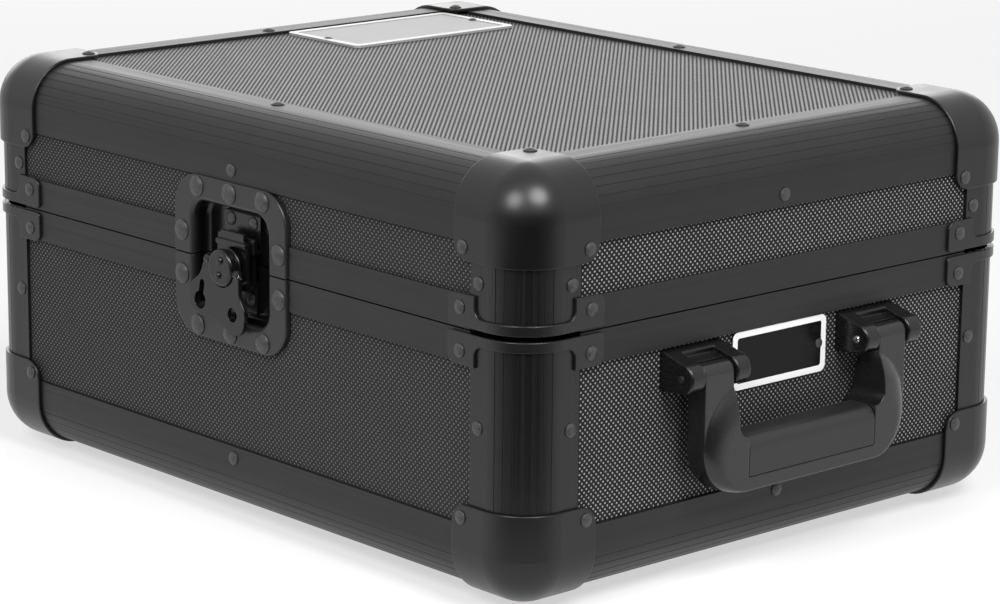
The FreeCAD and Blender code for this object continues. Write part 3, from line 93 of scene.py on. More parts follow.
# Latch dish: how far its paint is that of the face and from where it is the recess's glossier paint with
# painted shade
DISH_FACE_DEEP = 1.0 * MM
DISH_RECESS_DEEP = 5.0 * MM
DISH_FACE_ROUGHNESS = 0.32
DISH_RECESS_ROUGHNESS = 0.2
DISH_EDGE = 0.3 * MM

# Bare and blackened metal
MOTTLE_SCALE = 800.0
MOTTLE_DEEP = 0.04 * MM
TURNED_SCALE = 1500.0
TURNED_DEEP = 0.01 * MM

# Handle pins: how far the black of their outer ends reaches in, and the roundness of their ends
PIN_BLACK_END = 3.0 * MM
PIN_EDGE = 1.3 * MM
PIN_ROUGHNESS = 0.16
PIN_BLACK_END_ROUGHNESS = 0.6

# Plastic and rubber
MOULDED_CLOUD_SCALE = 50.0
MOULDED_CLOUD_DARK = 0.85
MOULDED_CLOUD_LIGHT = 1.2

# Plates: brushed metal or print
BRUSHED_SCALE = 1400.0
BRUSHED_STRETCH = 0.02
BRUSHED_DEEP = 0.008 * MM
PLATE_EDGE = 0.15 * MM

# Plate frames: the raised border on the label and on the badge
LABEL_BORDER = 2.7 * MM
BADGE_BORDER = 3.6 * MM
BORDER_RISE = 0.35 * MM
BORDER_BEVEL = 0.12 * MM
BORDER_BEVEL_ANGLE = math.radians(50)
BORDER_INNER_ROUND = 1.2 * MM
PLATE_ROUND = 3.0 * MM
ROUND_STEPS = 8
BEVEL_SEGMENTS = 2

# Foam lining
PORE_SCALE = 620.0
FLUFF_SCALE = 1500.0
PORE_DEEP = 0.35 * MM
FOAM_PORE_PAINTED_SHADE = 0.018
FOAM_LIGHT = 0.055
FOAM_CUBE = 12.5 * MM
FOAM_SCORE = 0.35 * MM
FOAM_CUBE_ROUND = 0.9 * MM
CRATE_PITCH = 28.0 * MM
CRATE_DEEP = 13.0 * MM
CRATE_STEPS = 10
PAD_ROUND = 1.6 * MM
PAD_STEP = 6.0 * MM
PAD_RIPPLE = 0.35 * MM
PAD_RIPPLE_TURN = (1.3, 0.9)

# Studio: a white floor and a white surround, in metres
FLOOR_HALF = 12.0
FLOOR_SHADE = 0.93
FLOOR_TOOTH = 0.02
FLOOR_TOOTH_SCALE = 400.0
FLOOR_LIFT = 0.6
SURROUND_LIGHT = 0.22

# Lamps: they face the middle of the near ball corner
BALL_RADIUS = 20.0 * MM
LAMP_DISTANCE = 1.6
STRIP_DISTANCE = 2.4

# Flag: black cloth on the floor and upright, around the near corner, in metres and degrees
FLAG_SHADE = 0.005
FLAG_HALF_ANGLE = 88.0
FLAG_NEAR = 0.02
FLAG_DENSE = 0.20
FLAG_FAR = 1.3
FLAG_TALL = 0.65
FLAG_THIN = 0.35
FLAG_LIFT = 0.001
FLAG_STEPS = 32


class Finish:
    """A node material in the making, with short calls for the nodes that the finishes share."""

    def __init__(self, name, colour, roughness, metallic=0.0, specular=0.5):
        self.material = bpy.data.materials.new(name)
        self.material.use_nodes = True
        self.tree = self.material.node_tree
        self.surface = self.tree.nodes["Principled BSDF"]
        self.set("Base Color", (*colour, 1.0))
        self.set("Roughness", roughness)
        self.set("Metallic", metallic)
        self.set("Specular IOR Level", specular)

    def set(self, socket, value):
        self.surface.inputs[socket].default_value = value

    def node(self, kind, **settings):
        made = self.tree.nodes.new(kind)
        for name, value in settings.items():
            setattr(made, name, value)
        return made

    def feed(self, source, target):
        """Links a socket to the target, or writes a plain value on it."""
        if isinstance(source, bpy.types.NodeSocket):
            self.tree.links.new(source, target)
        else:
            target.default_value = source

    def drive(self, socket, source):
        self.feed(source, self.surface.inputs[socket])

    def place(self, scale=(1.0, 1.0, 1.0)):
        """The piece's own coordinates in metres, stretched by scale."""
        coordinates = self.node("ShaderNodeTexCoord")
        mapping = self.node("ShaderNodeMapping")
        mapping.inputs["Scale"].default_value = scale
        self.feed(coordinates.outputs["Object"], mapping.inputs["Vector"])
        return mapping.outputs["Vector"]

    def stretched_place(self, along, stretch):
        """Coordinates that draw a texture out into lines along an axis."""
        scale = [1.0, 1.0, 1.0]
        scale[along] = stretch
        return self.place(scale)

    def axes(self, place):
        split = self.node("ShaderNodeSeparateXYZ")
        self.feed(place, split.inputs["Vector"])
        return split.outputs

    def calc(self, operation, first, second=0.0):
        made = self.node("ShaderNodeMath", operation=operation)
        self.feed(first, made.inputs[0])
        self.feed(second, made.inputs[1])
        return made.outputs[0]

    def noise(self, place, scale, detail=3.0, roughness=0.5):
        made = self.node("ShaderNodeTexNoise")
        self.feed(place, made.inputs["Vector"])
        made.inputs["Scale"].default_value = scale
        made.inputs["Detail"].default_value = detail
        made.inputs["Roughness"].default_value = roughness
        return made.outputs["Fac"]

    def cells(self, place, scale):
        made = self.node("ShaderNodeTexVoronoi")
        self.feed(place, made.inputs["Vector"])
        made.inputs["Scale"].default_value = scale
        return made.outputs["Distance"]

    def spread(self, value, start, stop, low, high, smooth=False):
        """Value from start to stop becomes low to high."""
        kind = "SMOOTHSTEP" if smooth else "LINEAR"
        made = self.node("ShaderNodeMapRange", interpolation_type=kind)
        for socket, source in zip(made.inputs, (value, start, stop, low, high)):
            self.feed(source, socket)
        return made.outputs["Result"]

    def blend(self, share, low, high):
        """Low where the share is 0 and high where it is 1."""
        return self.spread(share, 0.0, 1.0, low, high)

    def step_up(self, value, start, stop):
        """A soft step from 0 to 1."""
        return self.spread(value, start, stop, 0.0, 1.0, smooth=True)

    def uneven(self, noise, level, less, more):
        """A level that the noise takes a little lower or higher."""
        return self.spread(noise, NOISE_LOW, NOISE_HIGH, level - less, level + more)

    def tint(self, factor, first, second):
        made = self.node("ShaderNodeMixRGB")
        self.feed(factor, made.inputs["Fac"])
        self.feed((*first, 1.0), made.inputs["Color1"])
        self.feed((*second, 1.0), made.inputs["Color2"])
        return made.outputs["Color"]

    def soft_edges(self, radius):
        made = self.node("ShaderNodeBevel", samples=EDGE_SAMPLES)
        made.inputs["Radius"].default_value = radius
        return made.outputs["Normal"]

    def bump(self, height, depth, normal=None):
        made = self.node("ShaderNodeBump")
        made.inputs["Strength"].default_value = 1.0
        made.inputs["Distance"].default_value = depth
        self.feed(height, made.inputs["Height"])
        if normal is not None:
            self.feed(normal, made.inputs["Normal"])
        return made.outputs["Normal"]

    def cover_with(self, shader, share):
        """Shows a second shader in place of the surface, by a share of it."""
        mix = self.node("ShaderNodeMixShader")
        self.feed(share, mix.inputs["Fac"])
        self.feed(self.surface.outputs["BSDF"], mix.inputs[1])
        self.feed(shader, mix.inputs[2])
        self.feed(mix.outputs["Shader"], self.tree.nodes["Material Output"].inputs["Surface"])


def grey(value):
    return (value, value, value)


def laminate(name, across, along, gap_colour_with_painted_light, dot_painted_highlight, dot_from, dot_to):
    """Black laminate with a lattice of raised dots, drawn in the panel's own plane; the dots' lighter colour
    is a painted highlight.
    """
    made = Finish(name, grey(gap_colour_with_painted_light), GAP_ROUGHNESS, specular=0.35)
    place = made.place()
    axes = made.axes(place)
    waves = []
    for axis in (across, along):
        turn = made.calc("MULTIPLY", axes[axis], math.tau / DOT_PITCH)
        waves.append(made.calc("COSINE", turn))
    lattice = made.calc("MULTIPLY", waves[0], waves[1])
    dome = made.step_up(lattice, DOT_FOOT, 1.0)
    dot = made.step_up(lattice, dot_from, dot_to)
    patch = made.uneven(made.noise(place, LAMINATE_PATCH_SCALE), 1.0, less=0.2, more=0.0)
    shade = made.calc("MULTIPLY", dot, patch)
    # painted highlight: the dots are lighter than the gaps in the colour itself
    made.drive("Base Color", made.tint(shade, grey(gap_colour_with_painted_light), grey(dot_painted_highlight)))
    made.drive("Roughness", made.blend(dot, GAP_ROUGHNESS, DOT_ROUGHNESS))
    grain = made.bump(made.noise(place, LAMINATE_GRAIN_SCALE), LAMINATE_GRAIN_DEEP)
    made.drive("Normal", made.bump(dome, DOT_RISE, normal=grain))
    return made.material


def profile(name, along, roughness):
    """Black anodised aluminium with the fine drawing lines of an extrusion."""
    made = Finish(name, grey(PROFILE_LIGHT), roughness, specular=0.38)
    lines = made.noise(made.stretched_place(along, DRAWN_STRETCH), DRAWN_SCALE, detail=4.0)
    cloud = made.noise(made.place(), PROFILE_CLOUD_SCALE)
    made.drive("Base Color", made.tint(cloud, grey(PROFILE_DARK), grey(PROFILE_LIGHT)))
    made.drive("Roughness", made.uneven(lines, roughness, less=0.08, more=0.08))
    made.drive("Normal", made.bump(lines, DRAWN_DEEP, normal=made.soft_edges(EDGE_ROUND)))
    return made.material


def painted_steel(name, shade, roughness, edge=0.3 * MM, specular=0.4):
    """Satin black paint with a faint orange peel."""
    made = Finish(name, grey(shade), roughness, specular=specular)
    place = made.place()
    peel = made.noise(place, PEEL_SCALE, detail=2.0)
    cloud = made.noise(place, PAINT_CLOUD_SCALE)
    dark = grey(shade * PAINT_CLOUD_DARK)
    made.drive("Base Color", made.tint(cloud, dark, grey(shade * PAINT_CLOUD_LIGHT)))
    made.drive("Roughness", made.uneven(cloud, roughness, less=0.04, more=0.05))
    made.drive("Normal", made.bump(peel, PEEL_DEEP, normal=made.soft_edges(edge)))
    return made.material


def dish_paint_and_recess_shade(name, shade, recess_painted_shade):
    """The latch dish's paint: satin on the flange and glossier down in the recess, where the colour is
    darkened as painted shade.
    """
    made = Finish(name, grey(shade), DISH_FACE_ROUGHNESS, specular=0.4)
    place = made.place()
    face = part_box("latch_lower_dish")[0].y
    depth = made.calc("SUBTRACT", made.axes(place)[Y], face)
    sunk = made.step_up(depth, DISH_FACE_DEEP, DISH_RECESS_DEEP)
    cloud = made.noise(place, PAINT_CLOUD_SCALE)
    peel = made.noise(place, PEEL_SCALE, detail=2.0)
    # painted shade: the colour darkens with depth into the recess
    level = made.blend(sunk, shade, recess_painted_shade)
    made.drive("Base Color", made.calc("MULTIPLY", level, made.uneven(cloud, 1.0, less=0.15, more=0.2)))
    made.drive("Roughness", made.blend(sunk, DISH_FACE_ROUGHNESS, DISH_RECESS_ROUGHNESS))
    made.drive("Normal", made.bump(peel, PEEL_DEEP, normal=made.soft_edges(DISH_EDGE)))
    return made.material


def blackened_metal(name, dark, light, roughness):
    """Oxide-blackened steel with worn, lighter mottling."""
    made = Finish(name, grey(dark), roughness, metallic=0.5)
    mottle = made.noise(made.place(), MOTTLE_SCALE, detail=4.0, roughness=0.6)
    made.drive("Base Color", made.tint(mottle, grey(dark), grey(light)))
    made.drive("Roughness", made.uneven(mottle, roughness, less=0.06, more=0.08))
    made.drive("Normal", made.bump(mottle, MOTTLE_DEEP, normal=made.soft_edges(EDGE_ROUND)))
    return made.material


def bright_metal(name, dark, light, roughness, edge):
    """Bare steel with fine turning marks."""
    made = Finish(name, grey(dark), roughness, metallic=1.0)
    lines = made.noise(made.place(), TURNED_SCALE, detail=4.0)
    made.drive("Base Color", made.tint(lines, grey(dark), grey(light)))
    made.drive("Roughness", made.uneven(lines, roughness, less=0.05, more=0.08))
    made.drive("Normal", made.bump(lines, TURNED_DEEP, normal=made.soft_edges(edge)))
    return made.material


def pin_metal(name, bright, end_shade):
    """Polished handle pins whose outer ends are black and matte, like their brackets."""
    made = Finish(name, grey(bright), PIN_ROUGHNESS, metallic=1.0)
    low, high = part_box("handle_pins")
    place = made.place()
    out = made.calc("ABSOLUTE", made.calc("SUBTRACT", made.axes(place)[Y], (low.y + high.y) / 2))
    reach = (high.y - low.y) / 2
    # the outer ends are made black and matte by position
    painted = made.spread(out, reach - PIN_BLACK_END, reach - PIN_BLACK_END / 2, 0.0, 1.0)
    lines = made.noise(place, TURNED_SCALE, detail=4.0)
    made.drive("Base Color", made.tint(painted, grey(bright), grey(end_shade)))
    made.drive("Metallic", made.blend(painted, 1.0, 0.0))
    made.drive("Roughness", made.blend(painted, PIN_ROUGHNESS, PIN_BLACK_END_ROUGHNESS))
    made.drive("Normal", made.bump(lines, TURNED_DEEP, normal=made.soft_edges(PIN_EDGE)))
    return made.material


def moulded(name, shade, roughness, grain_scale, grain_deep, edge=0.5 * MM, specular=0.4):
    """Moulded plastic or rubber with an even spark-eroded grain."""
    made = Finish(name, grey(shade), roughness, specular=specular)
    place = made.place()
    grain = made.noise(place, grain_scale, detail=2.0)
    cloud = made.noise(place, MOULDED_CLOUD_SCALE)
    dark = grey(shade * MOULDED_CLOUD_DARK)
    made.drive("Base Color", made.tint(cloud, dark, grey(shade * MOULDED_CLOUD_LIGHT)))
    made.drive("Roughness", made.uneven(grain, roughness, less=0.05, more=0.07))
    made.drive("Normal", made.bump(grain, grain_deep, normal=made.soft_edges(edge)))
    return made.material


def foam_finish(name):
    """Open-cell foam: pores in a charcoal sponge, darkened in the colour as painted shade."""
    made = Finish(name, grey(FOAM_LIGHT), 0.95, specular=0.2)
    place = made.place()
    fluff = made.noise(place, FLUFF_SCALE)
    wall = made.step_up(made.cells(place, PORE_SCALE), 0.1, 0.6)
    # painted shade: the pores are darker than the walls in the colour itself
    made.drive("Base Color", made.tint(wall, grey(FOAM_PORE_PAINTED_SHADE), grey(FOAM_LIGHT)))
    made.drive("Normal", made.bump(made.calc("ADD", wall, fluff), PORE_DEEP))
    return made.material


def plate_finish(name, dark, light, roughness, along, metallic=0.0, specular=0.5):
    """A thin printed or brushed metal plate."""
    made = Finish(name, grey(dark), roughness, metallic=metallic, specular=specular)
    lines = made.noise(made.stretched_place(along, BRUSHED_STRETCH), BRUSHED_SCALE, detail=4.0)
    made.drive("Base Color", made.tint(lines, grey(dark), grey(light)))
    made.drive("Roughness", made.uneven(lines, roughness, less=0.05, more=0.06))
    made.drive("Normal", made.bump(lines, BRUSHED_DEEP, normal=made.soft_edges(PLATE_EDGE)))
    return made.material


def dress(material, *nodes):
    """Gives CAD nodes a finish."""
    for node in nodes:
        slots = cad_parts[node].data.materials
        slots.clear()
        slots.append(material)


def dress_shell():
    """Panels, edge profiles, rims and corner posts, each with its texture along its own axes."""
    # The three laminates are lit and shaded copies: their gap and dot shades differ by face direction as
    # painted light.
    panels = {
        "x": laminate(
            "laminate_across_x_painted_light", X, Z, gap_colour_with_painted_light=0.012, dot_painted_highlight=0.10, dot_from=0.35, dot_to=0.8
        ),
        "y": laminate(
            "laminate_across_y_painted_light", Y, Z, gap_colour_with_painted_light=0.004, dot_painted_highlight=0.30, dot_from=0.35, dot_to=0.75
        ),
        "flat": laminate(
            "laminate_flat_painted_light", X, Y, gap_colour_with_painted_light=0.005, dot_painted_highlight=0.16, dot_from=0.0, dot_to=0.4
        ),
    }
    bars = {
        "x": profile("profile_along_x", X, roughness=0.44),
        "y": profile("profile_along_y", Y, roughness=0.44),
        "z": profile("profile_along_z", Z, roughness=0.30),
    }
    for half in ("base", "lid"):
        for side in SIDES:
            axis = "x" if side in ("front", "rear") else "y"
            dress(panels[axis], f"{half}_{side}_panel")
            dress(bars[axis], f"{half}_{side}_edge", f"{half}_{side}_rim")
        dress(bars["z"], f"{half}_corner_posts")
    dress(panels["flat"], "base_floor_panel", "lid_top_panel")


def dress_corners():
    caps = painted_steel("corner_paint", shade=0.003, roughness=0.30, edge=0.5 * MM, specular=0.43)
    braces = painted_steel("brace_paint", shade=0.007, roughness=0.28)
    rivets = blackened_metal("rivet_metal", dark=0.015, light=0.09, roughness=0.38)
    dress(caps, "base_corner_caps", "lid_corner_caps")
    dress(braces, "base_corner_braces", "lid_corner_braces")
    dress(rivets, "base_rivets", "lid_rivets", "latch_lower_rivets", "latch_upper_rivets")


def dress_latch_and_hinges():
    dish = dish_paint_and_recess_shade("dish_paint_and_recess_shade", shade=0.011, recess_painted_shade=0.003)
    inside = painted_steel("latch_inside_paint", shade=0.004, roughness=0.22)
    twist = painted_steel("twist_paint", shade=0.004, roughness=0.17, edge=EDGE_ROUND, specular=0.38)
    pin = bright_metal("polished_metal", dark=0.75, light=0.90, roughness=PIN_ROUGHNESS, edge=PIN_EDGE)
    hinge = painted_steel("hinge_paint", shade=0.010, roughness=0.36)
    dress(dish, "latch_lower_dish", "latch_upper_dish")
    dress(inside, "latch_carrier", "latch_keeper")
    dress(twist, "latch_spindle", "latch_wings", "latch_hook")
    dress(pin, "latch_wing_pin")
    dress(hinge, "hinge_base_leaves", "hinge_lid_leaves", "hinge_pins")


def dress_handle_and_feet():
    bracket = moulded(
        "bracket_plastic", 0.004, 0.24, grain_scale=1600.0, grain_deep=0.008 * MM, edge=0.8 * MM
    )
    bail = moulded(
        "handle_plastic", 0.007, 0.21, grain_scale=1600.0, grain_deep=0.006 * MM, edge=1.0 * MM, specular=0.5
    )
    grip = moulded("grip_rubber", 0.012, 0.38, grain_scale=1900.0, grain_deep=0.015 * MM)
    feet = moulded("foot_rubber", 0.02, 0.75, grain_scale=1500.0, grain_deep=0.05 * MM)
    screws = bright_metal("bright_metal", dark=0.36, light=0.55, roughness=0.28, edge=EDGE_ROUND)
    dress(bracket, "handle_brackets")
    dress(bail, "handle_bail")
    dress(grip, "handle_grip")
    dress(feet, "rubber_feet")
    dress(screws, "handle_screws", "foot_screws")
    dress(pin_metal("pin_metal", bright=0.85, end_shade=0.004), "handle_pins")


def dress_plates():
    dress(plate_finish("label_face", 0.004, 0.007, 0.20, along=Y, specular=0.1), "handle_label")
    dress(plate_finish("badge_face", 0.30, 0.38, 0.55, along=X, metallic=0.1), "lid_badge")


def piece(name, mesh, material, body):
    """A new mesh object that rides on a body."""
    data = bpy.data.meshes.new(name)
    mesh.normal_update()
    mesh.to_mesh(data)
    mesh.free()
    data.materials.append(material)
    made = bpy.data.objects.new(name, data)
    bpy.context.scene.collection.objects.link(made)
    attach(made, body)
    return made


def foam_piece(name, mesh, material, body, node):
    made = piece(name, mesh, material, body)
    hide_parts(node)
    return made


def round_edges(mesh, width):
    bmesh.ops.bevel(
        mesh,
        geom=list(mesh.edges),
        offset=width,
        segments=BEVEL_SEGMENTS,
        affect="EDGES",
        profile=0.5,
        clamp_overlap=True,
    )


def add_block(mesh, low, high):
    """A closed box between two corners."""
    size = high - low
    middle = (low + high) / 2
    place = Matrix.Translation(middle) @ Matrix.Diagonal((*size, 1.0))
    bmesh.ops.create_cube(mesh, size=1.0, matrix=place)


def evenly(low, high, step):
    """Cuts between low and high, evenly spaced and about a step apart."""
    count = max(1, round((high - low) / step))
    return [low + (high - low) * index / count for index in range(count + 1)]


def pluck_foam(material):
    """The base's foam frame, scored into cubes around the pocket, as pick-and-pluck foam is."""
    low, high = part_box("base_foam_frame")
    pocket = pocket_box(low, high)
    lines = []
    for axis in (X, Y):
        before = evenly(low[axis], pocket[0][axis], FOAM_CUBE)
        inside = evenly(pocket[0][axis], pocket[1][axis], FOAM_CUBE)
        after = evenly(pocket[1][axis], high[axis], FOAM_CUBE)
        lines.append(before + inside[1:] + after[1:])
    mesh = bmesh.new()
    gap = FOAM_SCORE / 2
    for left, right in zip(lines[X], lines[X][1:]):
        for front, rear in zip(lines[Y], lines[Y][1:]):
            middle = Vector(((left + right) / 2, (front + rear) / 2))
            if all(pocket[0][a] < middle[a] < pocket[1][a] for a in (X, Y)):
                continue
            corner = Vector((left + gap, front + gap, low.z))
            add_block(mesh, corner, Vector((right - gap, rear - gap, high.z)))
    round_edges(mesh, FOAM_CUBE_ROUND)
    return foam_piece("pluck_foam_frame", mesh, material, "base", "base_foam_frame")


def pocket_box(low, high):
    """The foam frame's pocket: the box of the frame's points that lie inside its outer walls."""
    inner = []
    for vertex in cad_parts["base_foam_frame"].data.vertices:
        if all(low[a] + FOAM_SCORE < vertex.co[a] < high[a] - FOAM_SCORE for a in (X, Y)):
            inner.append(vertex.co)
    first = Vector([min(point[a] for point in inner) for a in (X, Y, Z)])
    last = Vector([max(point[a] for point in inner) for a in (X, Y, Z)])
    return first, last


def sheet_mesh(columns, rows, bottom, top):
    """A closed slab whose lower and upper faces follow the functions bottom and top."""
    mesh = bmesh.new()
    layers = []
    for height in (bottom, top):
        layer = [[mesh.verts.new((x, y, height(x, y))) for y in rows] for x in columns]
        layers.append(layer)
    lower, upper = layers
    across = range(len(columns) - 1)
    along = range(len(rows) - 1)
    for i in across:
        for j in along:
            mesh.faces.new((lower[i][j], lower[i][j + 1], lower[i + 1][j + 1], lower[i + 1][j]))
            mesh.faces.new((upper[i][j], upper[i + 1][j], upper[i + 1][j + 1], upper[i][j + 1]))
    for i in across:
        mesh.faces.new((lower[i][0], lower[i + 1][0], upper[i + 1][0], upper[i][0]))
        mesh.faces.new((lower[i + 1][-1], lower[i][-1], upper[i][-1], upper[i + 1][-1]))
    for j in along:
        mesh.faces.new((lower[0][j + 1], lower[0][j], upper[0][j], upper[0][j + 1]))
        mesh.faces.new((lower[-1][j], lower[-1][j + 1], upper[-1][j + 1], upper[-1][j]))
    for face in mesh.faces:
        face.smooth = True
    return mesh


def crate_foam(material):
    """The lid's egg-crate foam, with its peaks towards the base."""
    low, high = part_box("lid_foam")
    spans = [round((high[a] - low[a]) / CRATE_PITCH) for a in (X, Y)]
    columns = evenly(low.x, high.x, CRATE_PITCH / CRATE_STEPS)
    rows = evenly(low.y, high.y, CRATE_PITCH / CRATE_STEPS)

    def bottom(x, y):
        turn_x = math.tau * spans[X] * (x - low.x) / (high.x - low.x)
        turn_y = math.tau * spans[Y] * (y - low.y) / (high.y - low.y)
        return low.z + CRATE_DEEP * (0.5 + 0.5 * math.cos(turn_x) * math.cos(turn_y))

    mesh = sheet_mesh(columns, rows, bottom, lambda x, y: high.z)
    return foam_piece("crate_foam", mesh, material, "lid", "lid_foam")


def pad_foam(material):
    """The flat pad under the pocket, with a faint ripple from the foam saw."""
    low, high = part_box("base_foam_pad")
    columns = evenly(low.x, high.x, PAD_STEP)
    rows = evenly(low.y, high.y, PAD_STEP)

    def top(x, y):
        inward = min(x - low.x, high.x - x, y - low.y, high.y - y)
        fall = PAD_ROUND if inward <= 0 else 0.0
        wave_x = math.sin(x / PAD_STEP * PAD_RIPPLE_TURN[X])
        wave_y = math.cos(y / PAD_STEP * PAD_RIPPLE_TURN[Y])
        ripple = 0.5 + 0.5 * wave_x * wave_y
        return high.z - fall - PAD_RIPPLE * ripple

    mesh = sheet_mesh(columns, rows, lambda x, y: low.z, top)
    return foam_piece("pocket_pad", mesh, material, "base", "base_foam_pad")


def rounded_loop(half_across, half_along, radius):
    """The outline of a rounded rectangle around the origin, as points in order."""
    points = []
    for quarter, (sx, sy) in enumerate(((1, 1), (-1, 1), (-1, -1), (1, -1))):
        centre = Vector((sx * (half_across - radius), sy * (half_along - radius)))
        for step in range(ROUND_STEPS + 1):
            angle = math.pi / 2 * (quarter + step / ROUND_STEPS)
            points.append(centre + radius * Vector((math.cos(angle), math.sin(angle))))
    return points


def border(name, node, normal_axis, width, material, body):
    """A raised border round a plate, seated on the plate's outer face."""
    low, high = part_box(node)
    across, along = [a for a in (X, Y, Z) if a != normal_axis]
    middle = (low + high) / 2
    half = (high - low) / 2
    seat = high[normal_axis]
    outer = rounded_loop(half[across], half[along], PLATE_ROUND)
    inner_round = max(PLATE_ROUND - width, BORDER_INNER_ROUND)
    inner = rounded_loop(half[across] - width, half[along] - width, inner_round)
    mesh = bmesh.new()
    rings = []
    for loop, lift in ((outer, 0.0), (outer, BORDER_RISE), (inner, BORDER_RISE), (inner, 0.0)):
        ring = []
        for point in loop:
            place = Vector((0.0, 0.0, 0.0))
            place[across] = middle[across] + point.x
            place[along] = middle[along] + point.y
            place[normal_axis] = seat + lift
            ring.append(mesh.verts.new(place))
        rings.append(ring)
    count = len(outer)
    for first, second in zip(rings, rings[1:] + rings[:1]):
        for index in range(count):
            follow = (index + 1) % count
            mesh.faces.new((first[index], first[follow], second[follow], second[index]))
    bmesh.ops.recalc_face_normals(mesh, faces=list(mesh.faces))
    edges = [e for e in mesh.edges if e.is_manifold and e.calc_face_angle(0.0) > BORDER_BEVEL_ANGLE]
    bmesh.ops.bevel(
        mesh,
        geom=edges,
        offset=BORDER_BEVEL,
        segments=BEVEL_SEGMENTS,
        affect="EDGES",
        profile=0.5,
    )
    return piece(name, mesh, material, body)


def add_foam():
    material = foam_finish("open_cell_foam")
    pluck_foam(material)
    crate_foam(material)
    pad_foam(material)


def add_plate_frames():
    white = plate_finish("label_border", dark=0.74, light=0.82, roughness=0.35, along=Y)
    silver = plate_finish("badge_border", dark=0.46, light=0.54, roughness=0.4, along=X, metallic=0.2)
    border("label_border", "handle_label", X, LABEL_BORDER, white, "base")
    border("badge_border", "lid_badge", Z, BADGE_BORDER, silver, "lid")


def direction(azimuth, elevation):
    """Unit vector; azimuth 0 is out of the case's front and turns towards the handle end."""
    turn = math.radians(azimuth)
    rise = math.radians(elevation)
    return Vector((math.sin(turn) * math.cos(rise), -math.cos(turn) * math.cos(rise), math.sin(rise)))


def near_ball():
    """The middle of the ball corner that is nearest to the camera."""
    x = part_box("lid_right_edge")[1].x - BALL_RADIUS
    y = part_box("lid_front_edge")[0].y + BALL_RADIUS
    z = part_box("lid_front_edge")[1].z - BALL_RADIUS
    return Vector((x, y, z))


def lamp(name, azimuth, elevation, distance, size, radiance, shape="RECTANGLE"):
    """A soft box that faces the near corner; radiance 1 is as bright as a white surround."""
    data = bpy.data.lights.new(name, "AREA")
    data.shape = shape
    data.size = size[0]
    data.size_y = size[1]
    area = size[0] * size[1]
    if shape == "DISK":
        area *= math.pi / 4
    data.energy = radiance * math.pi * area
    made = bpy.data.objects.new(name, data)
    towards = direction(azimuth, elevation)
    made.location = near_ball() + towards * distance
    made.rotation_euler = towards.to_track_quat("Z", "Y").to_euler()
    made.visible_camera = False
    bpy.context.scene.collection.objects.link(made)
    return made


def add_floor():
    """Pale paper that keeps the case's shadow and is lifted towards white as a background."""
    mesh = bmesh.new()
    bmesh.ops.create_grid(mesh, x_segments=1, y_segments=1, size=FLOOR_HALF)
    data = bpy.data.meshes.new("floor")
    mesh.to_mesh(data)
    mesh.free()
    made = Finish("floor_paper", grey(FLOOR_SHADE), 0.9, specular=0.1)
    tooth = made.noise(made.place(), FLOOR_TOOTH_SCALE)
    made.drive("Base Color", made.tint(tooth, grey(FLOOR_SHADE), grey(FLOOR_SHADE + FLOOR_TOOTH)))
    white = made.node("ShaderNodeEmission")
    lifted = made.calc("MULTIPLY", background_rays(made.tree), FLOOR_LIFT)
    made.cover_with(white.outputs["Emission"], lifted)
    data.materials.append(made.material)
    floor = bpy.data.objects.new("floor", data)
    bpy.context.scene.collection.objects.link(floor)


def background_rays(tree):
    """1 where the eye, a reflection or a clear piece looks at the background, and 0 for plain light."""
    rays = tree.nodes.new("ShaderNodeLightPath")
    seen = rays.outputs["Is Camera Ray"]
    for kind in ("Is Glossy Ray", "Is Transmission Ray"):
        either = tree.nodes.new("ShaderNodeMath")
        either.operation = "MAXIMUM"
        tree.links.new(seen, either.inputs[0])
        tree.links.new(rays.outputs[kind], either.inputs[1])
        seen = either.outputs[0]
    return seen


def add_surround():
    """A white surround: full white to the eye and in reflections, weaker as light."""
    world = bpy.data.worlds.new("surround")
    bpy.context.scene.world = world
    world.use_nodes = True
    tree = world.node_tree
    background = tree.nodes["Background"]
    background.inputs["Color"].default_value = (1.0, 1.0, 1.0, 1.0)
    seen = background_rays(tree)
    strength = tree.nodes.new("ShaderNodeMapRange")
    strength.inputs["To Min"].default_value = SURROUND_LIGHT
    strength.inputs["To Max"].default_value = 1.0
    tree.links.new(seen, strength.inputs["Value"])
    tree.links.new(strength.outputs["Result"], background.inputs["Strength"])


def flag_cloth(corner, ahead):
    """Black cloth that thins out to the sides, at its top and close to the case."""
    made = Finish("flag_cloth", grey(FLAG_SHADE), 1.0, specular=0.0)
    axes = made.axes(made.place())
    out = [made.calc("SUBTRACT", axes[a], corner[a]) for a in (X, Y)]
    squares = [made.calc("MULTIPLY", value, value) for value in out]
    reach = made.calc("SQRT", made.calc("ADD", squares[X], squares[Y]))
    shares = [made.calc("MULTIPLY", out[a], ahead[a]) for a in (X, Y)]
    turn = made.calc("DIVIDE", made.calc("ADD", shares[X], shares[Y]), reach)
    ahead_share = made.step_up(turn, 0.0, 1.0)
    out_share = made.step_up(reach, FLAG_NEAR, FLAG_DENSE)
    low_share = made.spread(axes[Z], FLAG_THIN, FLAG_TALL, 1.0, 0.0, smooth=True)
    cover = made.calc("MULTIPLY", made.calc("MULTIPLY", ahead_share, out_share), low_share)
    clear = made.node("ShaderNodeBsdfTransparent")
    made.cover_with(clear.outputs["BSDF"], made.calc("SUBTRACT", 1.0, cover))
    return made.material


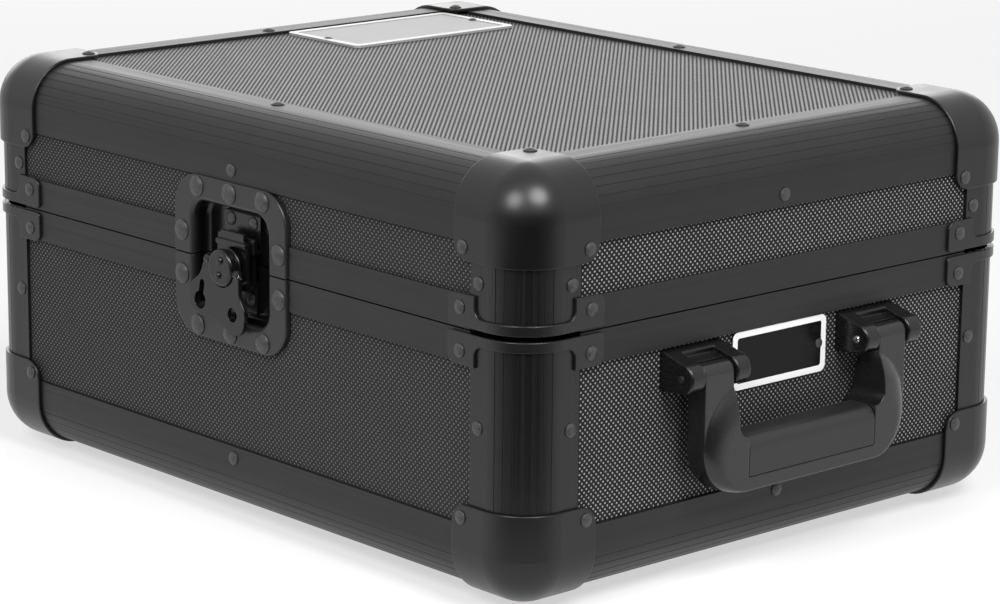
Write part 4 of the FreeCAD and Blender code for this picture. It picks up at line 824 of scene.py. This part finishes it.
def add_flag():
    """A black flag around the near corner: the dark studio behind the camera, only for reflections."""
    corner = Vector((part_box("base_right_edge")[1].x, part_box("base_front_edge")[0].y, 0.0))
    mesh = bmesh.new()
    rows = []
    middle = math.degrees(CAMERA_AZIMUTH)
    for step in range(FLAG_STEPS + 1):
        azimuth = middle + FLAG_HALF_ANGLE * (2 * step / FLAG_STEPS - 1)
        out = direction(azimuth, 0.0)
        near = corner + out * FLAG_NEAR
        far = corner + out * FLAG_FAR
        rows.append([mesh.verts.new(point) for point in (
            near + Vector((0.0, 0.0, FLAG_LIFT)),
            far + Vector((0.0, 0.0, FLAG_LIFT)),
            far + Vector((0.0, 0.0, FLAG_TALL)),
        )])
    for first, second in zip(rows, rows[1:]):
        for index in range(2):
            mesh.faces.new((first[index], first[index + 1], second[index + 1], second[index]))
    data = bpy.data.meshes.new("flag")
    mesh.to_mesh(data)
    mesh.free()
    data.materials.append(flag_cloth(corner, direction(middle, 0.0)))
    flag = bpy.data.objects.new("flag", data)
    bpy.context.scene.collection.objects.link(flag)
    flag.visible_camera = False
    flag.visible_diffuse = False
    flag.visible_shadow = False
    flag.visible_transmission = False


def add_studio():
    add_floor()
    add_surround()
    add_flag()
    lamp("front_lamp", 13.5, 40.0, LAMP_DISTANCE, size=(0.74, 0.74), radiance=13.5, shape="DISK")
    lamp("side_lamp", 79.4, 48.9, LAMP_DISTANCE, size=(0.88, 0.88), radiance=14.5, shape="DISK")
    lamp("back_strip", 236.0, 15.0, STRIP_DISTANCE, size=(2.8, 0.9), radiance=2.0)


def add_camera():
    low = Vector((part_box("base_left_edge")[0].x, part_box("base_front_edge")[0].y, 0.0))
    high = Vector((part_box("base_right_edge")[1].x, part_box("base_rear_edge")[1].y, 0.0))
    middle = (low + high) / 2
    middle.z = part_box("base_front_edge")[0].z
    back = direction(math.degrees(CAMERA_AZIMUTH), math.degrees(CAMERA_ELEVATION))
    level = Vector((0.0, 0.0, 1.0)).cross(back).normalized()
    upward = back.cross(level)
    right = math.cos(CAMERA_ROLL) * level + math.sin(CAMERA_ROLL) * upward
    up = math.cos(CAMERA_ROLL) * upward - math.sin(CAMERA_ROLL) * level
    turn = Matrix((right, up, back)).transposed().to_4x4()
    data = bpy.data.cameras.new("camera")
    data.sensor_width = SENSOR_WIDTH
    data.lens = FOCAL_PIXELS / IMAGE_WIDTH * SENSOR_WIDTH
    data.shift_x = (IMAGE_WIDTH / 2 - OPTICAL_CENTRE[0]) / IMAGE_WIDTH
    data.shift_y = (OPTICAL_CENTRE[1] - IMAGE_HEIGHT / 2) / IMAGE_WIDTH
    data.clip_start = CLIP_START
    camera = bpy.data.objects.new("camera", data)
    camera.matrix_world = Matrix.Translation(middle + CAMERA_FROM_CASE) @ turn
    bpy.context.scene.collection.objects.link(camera)
    bpy.context.scene.camera = camera


bpy.context.scene.view_settings.view_transform = "Standard"
dress_shell()
dress_corners()
dress_latch_and_hinges()
dress_handle_and_feet()
dress_plates()
add_foam()
add_plate_frames()
add_studio()
add_camera()
